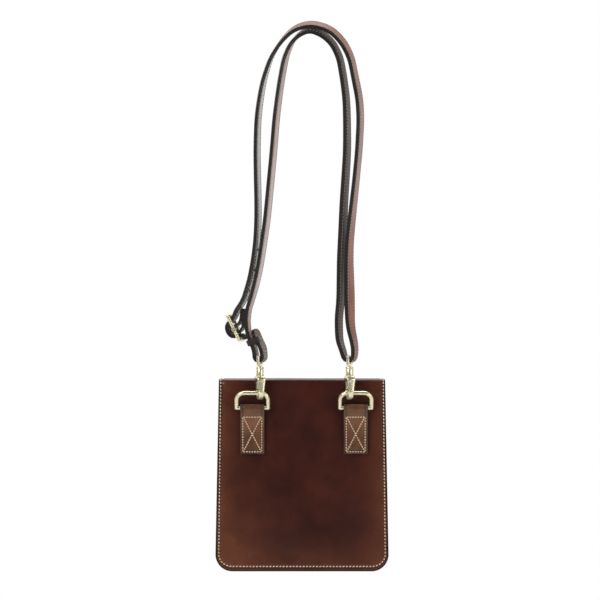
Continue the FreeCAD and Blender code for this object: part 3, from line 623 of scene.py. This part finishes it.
# bag: one hide for back and flap, the front, the gusset and the linings
bag = {"x": -9.3, "topHalf": 86.5, "lowHalf": 90.4, "tall": 200.5, "corner": 18.0, "flapCorner": 26.0,
       "seamSide": 3.5, "seamEnd": 5.2, "pitch": 3.45, "backY": 12.0, "foldZ": -361.0, "flapY": 53.2,
       "bottom": -560.5, "flapBottom": -478.0, "hide": 2.0, "frontTop": -372.0,
       "liningInset": 8.1, "gussetInset": 6.3, "gussetTop": -369.0, "frontY": 48.0}


def planeRoute(corners, radii, plane, depth, sign, blur=0.0, step=0.3):
    route = routeOf(inPlane(bentLine(corners, radii, blur, step), plane, depth))
    tangent = route["tangent"]
    zero = 0 * tangent[:, 0]
    if plane == "yz":
        side = np.column_stack([zero, -tangent[:, 2], tangent[:, 1]])
    else:
        side = np.column_stack([-tangent[:, 2], zero, tangent[:, 0]])
    route["side"] = side * sign
    return route, lambda s: at(route, "side", s)


def halfSeam(shape, inset, endInset, side, endRound=True, stop=0.0):
    # half a stitch line on the (s, x) plane: out from the middle of one end, round it, up the side and back
    length, half = shape["route"]["length"], shape["half"]
    a = np.linspace(0, pi / 2, 20)
    r = shape["radii"][0]
    s = r - (r - endInset) * np.cos(a)
    runs = [[(endInset, 0.0)], np.column_stack([s, half(s) - r + (r - inset) * np.sin(a)])]
    if endRound:
        r = shape["radii"][1]
        s = r - (r - endInset) * np.cos(a[::-1])
        runs += [np.column_stack([length - s, half(length - s) - r + (r - inset) * np.sin(a[::-1])]),
                 [(length - endInset, 0.0)]]
    else:
        runs.append([(length - stop, float(half(np.array(length - stop))) - inset)])
    line = np.vstack([np.asarray(run, float) for run in runs])
    return line * [1, side]


def makeShell():
    corners = [(bag["backY"], bag["bottom"]), (bag["backY"], bag["foldZ"]), (bag["flapY"], bag["foldZ"]),
               (bag["flapY"], bag["flapBottom"])]
    route, normal = planeRoute(corners, {1: 5.0, 2: 6.0}, "yz", bag["x"], 1, blur=0.8)
    lost = bag["lowHalf"] - bag["topHalf"]

    def half(s):
        return bag["lowHalf"] - lost * np.clip(s / bag["tall"], 0, 1)

    def crown(s, x, d):
        # slow waves of the hide, flat along the seams
        wave = np.sin(s / 31.0 + 0.7 * np.sin(x / 37.0)) * np.cos(x / 43.0 + 0.4) + 0.5 * np.sin((s + 1.7 * x) / 23.0)
        return 0.22 * wave * easeStep(5, 28, d)

    def warmthandhighlight(s, x, d):
        # warmer towards the sides and towards the bottom
        side = half(s) - np.abs(x)
        low = np.exp(-(s / 26.0) ** 2) * 0.5
        # a painted highlight: a pale warm spot near the lower-left corner
        corner = 0.55 * np.exp(-((s - 30) / 34.0) ** 2 - ((x + 66) / 26.0) ** 2)
        return np.clip(0.95 * np.exp(-(side / 17.0) ** 1.5) + low + corner, 0, 1)

    shape = sheetShape(route, sameNormal((1, 0, 0)), normal, half, (bag["corner"], bag["flapCorner"]), bag["hide"],
                       seams=(bag["seamSide"],), dip=0.7, crown=crown)
    length = route["length"]
    rows = crowdedRows(length, 4.0, bag["corner"], bag["flapCorner"], [(192, 206), (232, 248)])
    shell = makeSheet("backAndFlap", shape, rows, 44, [bagLeather, edgePaint, rawFlesh], None,
                      warmthandhighlight=warmthandhighlight)
    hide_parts("back_panel", "flap_panel")
    parts = [seamOn(shape, halfSeam(shape, bag["seamSide"], bag["seamEnd"], side), bag["pitch"])
             for side in (-1, 1)]
    centres, run, out = (np.vstack(group) for group in zip(*parts))
    stitches = stitchMesh("backAndFlapStitches", centres, run, out, bagThread, None, slant=0.24)
    for piece in (shell, stitches):
        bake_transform(piece)


def makeFront():
    ends = [(bag["frontY"], bag["bottom"]), (bag["frontY"], bag["frontTop"])]
    route, normal = planeRoute(ends, None, "yz", bag["x"], -1)
    lost = (bag["lowHalf"] - bag["topHalf"]) / bag["tall"]

    def half(s):
        return bag["lowHalf"] - lost * s

    shape = sheetShape(route, sameNormal((1, 0, 0)), normal, half, (bag["corner"], 1.0), bag["hide"],
                       seams=(bag["seamSide"],), dip=0.7,
                       crown=lambda s, x, d: 0.15 * np.sin(s / 27.0) * np.cos(x / 39.0) * easeStep(5, 28, d))
    rows = crowdedRows(route["length"], 4.5, bag["corner"], 2.0)
    front = makeSheet("frontPanel", shape, rows, 40, [bagLeather, edgePaint, rawFlesh], "bag",
                      warmthandhighlight=lambda s, x, d: 0.8 * np.exp(-(d / 17.0) ** 1.5))
    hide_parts("front_panel")
    parts = [seamOn(shape, halfSeam(shape, bag["seamSide"], bag["seamEnd"], side, False, 3.0), bag["pitch"])
             for side in (-1, 1)]
    edge = float(half(np.array(route["length"]))) - bag["seamSide"]
    across = [(route["length"] - 3.4, -edge), (route["length"] - 3.4, edge)]
    parts.append(seamOn(shape, across, bag["pitch"]))
    centres, run, out = (np.vstack(group) for group in zip(*parts))
    stitchMesh("frontPanelStitches", centres, run, out, bagThread, "bag", slant=0.24)


def channel(name, route, normal, line, thick, sag, finishes):
    # a flat section (y, n) carried round the bag: point(s, t) = route(s) + normal*n(t) + (0, y(t), 0)
    t = np.linspace(0, 1, len(line))
    tangent = np.gradient(line, axis=0)
    tangent /= np.linalg.norm(tangent, axis=1)[:, None]
    side = np.column_stack([-tangent[:, 1], tangent[:, 0]])
    inWall = easeStep(15, 22, line[:, 0]) * (1 - easeStep(38, 45, line[:, 0]))
    rows = crowdedRows(route["length"], 3.0, bends=[(180, 225), (330, 375)], fine=1.6)
    grids = []
    for reach in (thick / 2, -thick / 2):
        y, n = (line + side * reach).T
        n = n - sag * inWall
        grids.append(at(route, "points", rows)[:, None] + normal(rows)[:, None] * n[None, :, None]
                     + np.array([0, 1, 0]) * y[None, :, None])
    rim = np.tile(np.maximum(1 - easeStep(0.0, 0.05, t), easeStep(0.95, 1.0, t))[None], (len(rows), 1))
    warm = np.tile((0.35 * inWall)[None], (len(rows), 1))
    return thickGrid(name, grids[0], grids[1], finishes, "bag", {"rim": rim, "warmthandhighlight": warm})


def bagOutline(inset, top):
    lost = (bag["lowHalf"] - bag["topHalf"]) / bag["tall"]
    upper = bag["topHalf"] + lost * (-360.0 - top) - inset
    lower = bag["lowHalf"] - inset
    x, low = bag["x"], bag["bottom"] + inset
    return [(x - upper, top), (x - lower, low), (x + lower, low), (x + upper, top)]


def makeGusset():
    inset = bag["gussetInset"]
    radius = bag["corner"] - inset
    route, normal = planeRoute(bagOutline(inset, bag["gussetTop"]), {1: radius, 2: radius}, "xz", 0.0, -1)
    section = bentLine([(13.85, 5.7), (13.85, 0), (46.15, 0), (46.15, 5.7)], {1: 2.4, 2: 2.4}, step=0.6)
    wall = channel("gussetStrip", route, normal, section, 1.6, 1.3, [bagLeather, edgePaint, rawFlesh])
    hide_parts("gusset")
    inside = bentLine([(14.9, -1.35), (45.1, -1.35)], step=1.2)
    lining = channel("gussetSuede", route, normal, inside, 0.8, 1.3, [suede, suede, suede])
    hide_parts("gusset_lining")


def makeLinings():
    lost = (bag["lowHalf"] - bag["topHalf"]) / bag["tall"]
    inset = bag["liningInset"]
    low = bag["bottom"] + inset
    for name, node, y, sign, top in (("backSuede", "back_lining", 13.42, -1, -367.0),
                                     ("frontSuede", "front_lining", 46.58, 1, -373.0)):
        route, normal = planeRoute([(y, low), (y, top)], None, "yz", bag["x"], sign)
        shape = sheetShape(route, sameNormal((1, 0, 0)), normal,
                           lambda s: bag["lowHalf"] - inset - lost * (s + inset), (10.0, 0.5), 0.8, rimRound=0.3)
        piece = makeSheet(name, shape, crowdedRows(route["length"], 6.0, 10.0, 1.0), 30, [suede] * 3, "bag")
        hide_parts(node)
    corners = [(17.3, -362.45), (51.75, -362.45), (51.75, -476.5)]
    route, normal = planeRoute(corners, {1: 4.6}, "yz", bag["x"], -1)
    shape = sheetShape(route, sameNormal((1, 0, 0)), normal, lambda s: 85.0 + 0 * s, (0.5, 24.5), 0.8, rimRound=0.3)
    piece = makeSheet("flapSuede", shape, crowdedRows(route["length"], 5.0, 1.0, 24.5, [(28, 42)]), 30,
                      [suede] * 3, "flap")
    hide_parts("flap_lining")


# tabs that hold the rings
tab = {"half": 12.7, "bottom": -438.5, "boxHalf": 9.8, "boxLow": -436.0, "boxTop": -399.8, "pitch": 2.75,
       "underY": 10.0, "overY": 7.94, "overZ": -399.5, "loopTop": -387.3, "loopY": 3.6, "loopLow": -392.5,
       "loopBend": 3.18}


def makeTab(side, x):
    corners = [(tab["underY"], tab["bottom"]), (tab["underY"], tab["loopTop"]), (tab["loopY"], tab["loopTop"]),
               (tab["loopY"], tab["loopLow"]), (tab["overY"], tab["overZ"]), (tab["overY"], tab["bottom"])]
    bends = {1: tab["loopBend"], 2: tab["loopBend"], 3: 4.0, 4: 6.0}
    route, normal = planeRoute(corners, bends, "yz", x, -1, blur=0.4)
    shape = sheetShape(route, sameNormal((1, 0, 0)), normal, lambda s: tab["half"] + 0 * s, (1.2, 1.2), 2.0,
                       rimRound=0.55, seams=(2.8,), dip=0.18)
    rows = crowdedRows(route["length"], 1.6, 2.0, 2.0, [(44, 68)], fine=0.6)
    piece = makeSheet(f"ringTab_{side}", shape, rows, 14, [tabLeather, edgePaint, rawFlesh], "bag",
                      steps=rimSteps[:10], rimMask=(0.9, 0.4),
                      warmthandhighlight=lambda s, x, d: 0.9 * easeStep(55, 75, s) * np.exp(-((s - 72) / 12.0) ** 2))
    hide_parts(f"ring_tab_{side}")
    low = route["length"] - (tab["boxLow"] - tab["bottom"])
    top = route["length"] - (tab["boxTop"] - tab["bottom"])
    w = tab["boxHalf"]
    lines = [[(top, -w), (top, w)], [(top, w), (low, w)], [(low, w), (low, -w)], [(low, -w), (top, -w)],
             [(top + 1.5, -w + 1.2), (low - 1.5, w - 1.2)], [(top + 1.5, w - 1.2), (low - 1.5, -w + 1.2)]]
    parts = [seamOn(shape, line, tab["pitch"]) for line in lines]
    centres, run, out = (np.vstack(group) for group in zip(*parts))
    stitchMesh(f"ringTabStitches_{side}", centres, run, out, bagThread, "bag", long=2.2, thick=0.64, slant=0.12)


# strap
strap = {"half": 9.5, "ply": 2.0, "rowX": 7.1, "pitch": 3.4, "eyeLow": -341.4, "foldReach": 4.2,
         "leftEye": -53.0, "rightEye": 40.0, "buckle": (-85.0, -293.0), "tilt": 24.9, "lean": 3.0, "hole": 1.6}
strapHoles = [(-66.3, -268.0, 0.306), (-60.7, -247.0, 0.194), (-57.6, -226.0, 0.123)]  # x, z and slope of each
legIn = [(-60.7, -308.4), (-57.2, -318.4), (-50.7, -328.0)]
legOut = [(-57.8, -330.0), (-62.5, -320.0), (-65.5, -309.5), (-66.3, -299.0), (-65.0, -287.5), (-62.0, -278.0)]
innerStrand = [(-56.5, -257.5), (-52.5, -236.5), (-49.5, -216.0), (-46.5, -195.0), (-44.5, -174.5),
               (-42.5, -153.5), (-39.5, -122.5), (-37.0, -91.0), (-34.5, -70.5), (-31.5, -49.5), (-27.0, -26.0),
               (-20.5, -11.4), (-12.0, -2.4), (0.0, 3.2), (13.0, -2.4), (22.5, -11.4), (29.5, -26.0),
               (33.5, -49.5), (36.0, -70.5), (36.5, -91.0), (36.5, -122.5), (34.5, -153.5), (33.0, -174.5),
               (32.0, -195.0), (31.0, -216.0), (30.0, -236.5), (29.5, -278.5), (27.5, -299.0), (28.5, -320.0),
               (32.6, -331.0)]
outerStrand = [(45.0, -330.0), (43.0, -320.0), (40.0, -309.5), (38.5, -299.0), (37.5, -278.5), (37.5, -236.5),
               (38.5, -216.0), (41.0, -195.0), (43.5, -174.5), (46.0, -153.5), (49.0, -122.5), (50.5, -91.0),
               (49.5, -70.5), (45.5, -49.5), (41.0, -26.0), (32.5, -9.4), (19.5, 3.6), (0.5, 8.8), (-17.0, 3.6),
               (-29.5, -8.4), (-41.0, -26.0), (-49.0, -49.5), (-53.0, -70.5), (-55.5, -91.0), (-56.5, -122.5),
               (-56.0, -153.5), (-55.5, -174.5), (-55.5, -195.0), (-56.5, -216.0), (-59.0, -236.5),
               (-63.0, -257.5), (-69.5, -278.5)]
buckleRun = [(0.5, -8.5), (5.0, -4.6), (10.0, 6.0), (15.5, 8.0), (22.8, 6.8), (26.3, -5.6), (31.0, -5.0)]
chapeRun = [(0.7, -15.4), (11.0, -9.2), (13.9, -5.0), (13.9, 3.5), (20.9, 3.5), (20.9, -7.0), (11.9, -11.4),
            (1.8, -17.5)]
# at spots along the strap: how far the far edge stands from the near one, as (x, z), and how heavy its coat is there,
# a painted highlight that is heaviest where the strand catches the light
leans = [((-60.7, -308.4), (7.5, 1.0), 0.1), ((-50.7, -328.0), (5.5, 0.0), 0.1), ((-53.0, -341.4), (3.0, 0.0), 0.1),
         ((-65.5, -309.5), (3.0, 0.0), 0.1), ((-56.5, -257.5), (4.2, 0.0), 1.0), ((-42.5, -153.5), (4.6, 0.6), 1.0),
         ((-27.0, -26.0), (4.2, 2.2), 0.6), ((0.0, 3.2), (1.5, 5.0), 0.0), ((29.5, -26.0), (4.0, 3.0), 0.0),
         ((36.5, -122.5), (5.2, 0.6), 0.1), ((30.0, -236.5), (6.2, 0.0), 0.0), ((28.5, -320.0), (5.0, 0.0), 0.0),
         ((40.0, -341.4), (3.0, 0.0), 0.0), ((43.0, -320.0), (5.5, 0.0), 0.0), ((37.5, -278.5), (8.2, 0.0), 0.0),
         ((37.5, -236.5), (6.4, 0.0), 0.1), ((46.0, -153.5), (4.4, 0.4), 0.4), ((49.5, -70.5), (4.8, 1.6), 0.3),
         ((32.5, -9.4), (3.6, 4.6), 0.1), ((0.5, 8.8), (0.8, 5.2), 0.0), ((-29.5, -8.4), (1.6, 4.0), 0.5),
         ((-53.0, -70.5), (3.6, 0.8), 1.0), ((-56.0, -153.5), (4.0, 0.0), 1.0), ((-63.0, -257.5), (4.2, 0.0), 1.0),
         ((-80.0, -293.0), (3.0, 0.0), 0.2)]


def besideBuckle(along, out):
    a = radians(strap["tilt"])
    x, z = strap["buckle"]
    return x + sin(a) * along - cos(a) * out, z - cos(a) * along - sin(a) * out


def beltLine():
    r, low = strap["foldReach"], strap["eyeLow"]
    left = [(strap["leftEye"] + r, low), (strap["leftEye"] - r, low)]
    right = [(strap["rightEye"] - r, low), (strap["rightEye"] + r, low)]
    corners = legIn + left + legOut + innerStrand + right + outerStrand + [besideBuckle(*p) for p in buckleRun]
    return bentLine(corners, blur=1.3, step=0.4)


def leaningShape(route, marks, offset, side, radii, thick, seams):
    # across leans from (0, 1, 0) towards (x, z); the normal is square to it and to the run
    points = route["points"]
    stops, amounts, last = [], [], 0
    for (x, z), lean, _ in marks:
        gap = np.hypot(points[:, 0] - x, points[:, 2] - z)
        gap[:last] = 1e3
        last = int(np.argmin(gap))
        stops.append(route["far"][last])
        amounts.append(lean)
    amounts = np.array(amounts)
    far = route["far"]
    lean = np.column_stack([np.interp(far, stops, amounts[:, k]) for k in (0, 1)])
    reach = 60
    weights = np.hanning(2 * reach + 1)
    weights /= weights.sum()
    padded = np.vstack([np.repeat(lean[:1], reach, 0), lean, np.repeat(lean[-1:], reach, 0)])
    lean = np.column_stack([np.convolve(padded[:, k], weights, "valid") for k in (0, 1)])
    wide = 2 * strap["half"]
    across = np.column_stack([lean[:, 0], np.full(len(far), wide), lean[:, 1]]) / wide
    normal = np.cross(route["tangent"], across)
    normal /= np.linalg.norm(normal, axis=1)[:, None]
    shifted = dict(route, across=across, out=normal * side)
    # the near edge keeps its place: the middle line moves by half of what the lean adds to the plain one
    slide = np.column_stack([(lean[:, 0] - strap["lean"]) / 2, 0 * far, 0 * far])
    shifted["points"] = points + normal * side * offset + slide
    shape = sheetShape(shifted, lambda s: at(shifted, "across", s), lambda s: at(shifted, "out", s),
                       lambda s: strap["half"] + 0 * s, radii, thick, rimRound=0.55, seams=seams)
    return dict(shape, stops=stops, shine=[mark[2] for mark in marks])


def punched(piece, cutters):
    # each hole is cut with a plain solid, then the mesh is settled
    for cutter in cutters:
        hole = piece.modifiers.new("hole", "BOOLEAN")
        hole.operation, hole.solver, hole.object = "DIFFERENCE", "EXACT", cutter
    made = bpy.data.meshes.new_from_object(piece.evaluated_get(bpy.context.evaluated_depsgraph_get()))
    piece.modifiers.clear()
    piece.data = made
    made.polygons.foreach_set("use_smooth", np.full(len(made.polygons), True))
    for cutter in cutters:
        bpy.data.objects.remove(cutter)


def plug(start, end, radius):
    # a round cutter between two points
    a, b = np.array(start, float), np.array(end, float)
    axis = (b - a) / np.linalg.norm(b - a)
    u = np.cross(axis, [0, 1.0, 0])
    u /= np.linalg.norm(u)
    v = np.cross(axis, u)
    count = 24
    t = np.linspace(0, 2 * pi, count, endpoint=False)
    ring = u * (radius * np.cos(t))[:, None] + v * (radius * np.sin(t))[:, None]
    points = np.vstack([a + ring, b + ring])
    k, up = np.arange(count), (np.arange(count) + 1) % count
    faces = np.stack([k, up, count + up, count + k], -1).tolist() + [k[::-1].tolist(), (count + k).tolist()]
    return addPiece("cut", points, faces, [edgePaint], None, smoothed=False)


def slotCutter(corners, halfDeep):
    # a four-sided cutter: its corners are given beside the buckle, and it reaches halfDeep each way in y
    box = [besideBuckle(*corner) for corner in corners]
    points = [(x, y, z) for y in (-halfDeep, halfDeep) for x, z in box]
    faces = [(0, 1, 2, 3), (7, 6, 5, 4), (0, 4, 5, 1), (1, 5, 6, 2), (2, 6, 7, 3), (3, 7, 4, 0)]
    return addPiece("cut", points, faces, [edgePaint], None, smoothed=False)


def makeStrap():
    line = beltLine()
    route = routeOf(inPlane(line, "xz"))
    print("strap length mm", round(route["length"]))
    length = route["length"]
    rows = crowdedRows(length, 3.0, 9.0, 3.0, [(18, 50), (length - 90, length)], fine=1.2)
    parts = []
    for name, node, side, finish in (("strapFacePly", "strap_face_ply", -1, strapLeather),
                                     ("strapLiningPly", "strap_lining_ply", 1, strapLining)):
        shape = leaningShape(route, leans, 1.0, side, (9.0, 3.0), strap["ply"], (2.4,))
        ply = makeSheet(name, shape, rows, 6, [finish, strapEdge, finish], "strap",
                        steps=np.array([0, 0.15, 0.4, 0.8, 1.4, 1.9, 2.4, 2.9, 3.8]), rimMask=(0.7, 0.35),
                        paintedHighlight=lambda s: np.interp(s, shape["stops"], shape["shine"]))
        cutters = [plug((x - 7, 0, z + 7 * s), (x + 7, 0, z - 7 * s), strap["hole"]) for x, z, s in strapHoles]
        cutters.append(slotCutter([(3.5, 0.9), (14.0, 0.9), (14.0, 5.6), (3.5, 5.6)], 1.8))
        punched(ply, cutters)
        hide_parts(node)
        for x in (-strap["rowX"], strap["rowX"]):
            parts.append(seamOn(shape, [(6.0, x), (length - 3.0, x)], strap["pitch"]))
        if side == 1:
            parts.append(seamOn(shape, [(26.0, -6.5), (26.0, 6.5)], strap["pitch"]))
    centres, run, out = (np.vstack(group) for group in zip(*parts))
    stitchMesh("strapStitches", centres, run, out, strapThread, "strap", long=2.3, thick=0.5, sides=5)


def makeChape():
    line = bentLine([besideBuckle(*p) for p in chapeRun], blur=0.5, step=0.2)
    route = routeOf(inPlane(line, "xz"))
    shape = leaningShape(route, [(tuple(line[0]), (strap["lean"], 0.0), 0.2)], 0.0, 1, (2.0, 2.0), 2.0, ())
    piece = makeSheet("buckleChape", shape, crowdedRows(route["length"], 1.5, 2.0, 2.0, fine=0.8), 8,
                      [strapLeather, strapEdge, strapLeather], "strap",
                      steps=np.array([0, 0.15, 0.4, 0.8, 1.4, 2.4]), rimMask=(0.7, 0.35))
    punched(piece, [slotCutter([(12.5, -5.5), (22.5, -5.5), (22.5, 5.0), (12.5, 5.0)], 2.6)])
    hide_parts("buckle_chape")


keeper = {"mid": (-58.55, 0.0, -321.0), "slope": 23.5, "halfWide": 6.2, "halfDeep": 10.75, "corner": 1.8,
          "spots": 80}


def makeKeeper():
    # a closed band: a round-cornered loop square to the strap's run, 6 mm tall
    slope = radians(keeper["slope"])
    mid, run = np.array(keeper["mid"]), np.array([sin(slope), 0, -cos(slope)])
    wide = 2 * strap["half"]
    side, deep = np.array([run[2], 0, -run[0]]), np.array([strap["lean"], wide, 0]) / wide
    a, b, r = keeper["halfWide"], keeper["halfDeep"], keeper["corner"]
    t = np.linspace(0, 2 * pi, 96, endpoint=False)
    u = np.sign(np.cos(t)) * (a - r) + r * np.cos(t)
    v = np.sign(np.sin(t)) * (b - r) + r * np.sin(t)
    ring = np.column_stack([u, v])
    gaps = np.r_[0, np.cumsum(np.linalg.norm(np.diff(np.vstack([ring, ring[:1]]), axis=0), axis=1))]
    spots = np.linspace(0, gaps[-1], keeper["spots"], endpoint=False)
    ring = np.column_stack([np.interp(spots, gaps, np.r_[ring[:, k], ring[0, k]]) for k in (0, 1)])
    step = np.roll(ring, -1, 0) - np.roll(ring, 1, 0)
    step /= np.linalg.norm(step, axis=1)[:, None]
    out = np.column_stack([step[:, 1], -step[:, 0]])
    c = np.array([-3.0, -2.85, -2.5, -1.8, 0, 1.8, 2.5, 2.85, 3.0])
    lift = np.array([0.25, 0.55, 0.75, 0.75, 0.75, 0.75, 0.75, 0.55, 0.25])

    def grid(sign):
        p = ring[:, None] + out[:, None] * (sign * lift)[None, :, None]
        return mid + side * p[..., :1] + deep * p[..., 1:] + run * c[None, :, None]

    rim = np.tile((np.abs(c) > 2.4).astype(float)[None], (keeper["spots"], 1))
    piece = thickGrid("keeperLoop", grid(1), grid(-1), [keeperLeather, strapEdge, keeperLeather], "keeper",
                      {"rim": rim}, loop=True)
    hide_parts("keeper_loop")


makeShell()
makeFront()
makeGusset()
makeLinings()
for side, x in (("left", -61.0), ("right", 46.5)):
    makeTab(side, x)
print("bag ready")
makeStrap()
makeChape()
makeKeeper()
print("strap ready")


# snap hooks: a cast C with a slot for its gate, and a turned barrel above it
hook = {"turn": 15.0, "wide": 9.4, "slim": 5.4, "thick": 3.7, "bridge": 4.5, "leg": 6.25, "bridgeZ": -359.2,
        "bendZ": -373.5, "noseZ": -371.5, "cap": 1.6, "power": 0.55, "taperTop": -359.0, "taperTall": 15.0}
barrelProfile = np.array([(0, -358.0), (3.9, -358.0), (4.15, -357.0), (4.2, -356.0), (4.2, -350.2), (4.05, -349.9),
                          (3.75, -349.7), (3.75, -349.3), (4.05, -349.1), (4.2, -348.8), (4.15, -348.1),
                          (3.85, -347.65), (3.3, -347.5), (1.9, -347.5), (0, -347.5)])


def makeHook(side, x):
    # section: superellipse of half sizes a(s), b(s) carried along the C; the ends close on a pole
    leg, low = hook["leg"], hook["bendZ"] - hook["leg"]
    line = bentLine([(6.9, hook["bridgeZ"]), (-leg, hook["bridgeZ"]), (-leg, low), (leg, low),
                     (leg, hook["noseZ"])], {1: 2.4, 2: leg - 0.01, 3: leg - 0.01}, blur=0.35, step=0.15)
    route = routeOf(line)
    length = route["length"]
    cap = hook["cap"]
    s = np.unique(np.r_[np.linspace(0, cap, 9), np.linspace(cap, length - cap, 64),
                        np.linspace(length - cap, length, 9)])
    centre, run = at(route, "points", s), at(route, "tangent", s)
    out = np.column_stack([-run[:, 1], run[:, 0]])
    taper = np.clip((hook["taperTop"] - centre[:, 1]) / hook["taperTall"], 0, 1)
    wide = hook["wide"] + (hook["slim"] - hook["wide"]) * taper
    onBridge = easeStep(-364.0, -360.0, centre[:, 1])
    thick = hook["thick"] + (hook["bridge"] - hook["thick"]) * onBridge
    end = np.minimum(s, length - s)
    close = np.sqrt(np.clip(1 - np.clip(1 - end / cap, 0, 1) ** 2, 0, 1))
    a, b = wide / 2 * (0.25 + 0.75 * close) * (close > 0), thick / 2 * close
    t = np.linspace(0, 2 * pi, 40, endpoint=False)
    c, d = np.cos(t), np.sin(t)
    px = np.sign(c) * np.abs(c) ** hook["power"]
    py = np.sign(d) * np.abs(d) ** hook["power"]
    u = centre[:, None, 0] + out[:, None, 0] * b[:, None] * py
    z = centre[:, None, 1] + out[:, None, 1] * b[:, None] * py
    body = np.stack([a[:, None] * px + 0 * u, u, z], -1)
    far, high = barrelProfile[:, :1], barrelProfile[:, 1:]
    lathe = np.stack([far * c, far * d, high + 0 * t], -1)
    angle = radians(hook["turn"])
    spin = np.array([[cos(angle), -sin(angle), 0], [sin(angle), cos(angle), 0], [0, 0, 1]])
    shift = np.array([x, 0, 0])

    def roundPiece(name, grid):
        rows, columns = grid.shape[:2]
        i, j = np.meshgrid(np.arange(rows - 1), np.arange(columns), indexing="ij")
        k = (j + 1) % columns
        quads = np.stack([i * columns + j, (i + 1) * columns + j, (i + 1) * columns + k, i * columns + k], -1)
        return addPiece(name, grid.reshape(-1, 3) @ spin.T + shift, quads.reshape(-1, 4), [brass], None)

    piece = roundPiece(f"snapHook_{side}", body)
    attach(roundPiece(f"swivelBarrel_{side}", lathe), f"hook_{side}")
    box = np.array([(w, u, z) for w in (-1.65, 1.65) for u in (3.2, 9.5) for z in (-363.0, -357.4)])
    sides = [(0, 1, 3, 2), (4, 6, 7, 5), (0, 4, 5, 1), (2, 3, 7, 6), (0, 2, 6, 4), (1, 5, 7, 3)]
    punched(piece, [addPiece("cut", box @ spin.T + shift, sides, [brass], None, smoothed=False)])
    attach(piece, f"hook_{side}")
    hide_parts(f"hook_body_{side}")


for side, x in (("left", -53.0), ("right", 40.0)):
    makeHook(side, x)
print("hooks ready")

# metal
metalParts = [(brass, ("buckle_frame", "buckle_bar", "buckle_prong", "swivel_eye_left", "swivel_eye_right",
                       "gate_left", "gate_right", "gate_pin_left", "gate_pin_right", "d_ring_left",
                       "d_ring_right", "snap_socket", "snap_stud")),
              (steel, ("gate_spring_left", "gate_spring_right", "snap_magnet", "snap_socket_washer"))]
for metal, names in metalParts:
    for name in names:
        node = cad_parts[name]
        node.data.materials.clear()
        node.data.materials.append(metal)
print("metal ready")
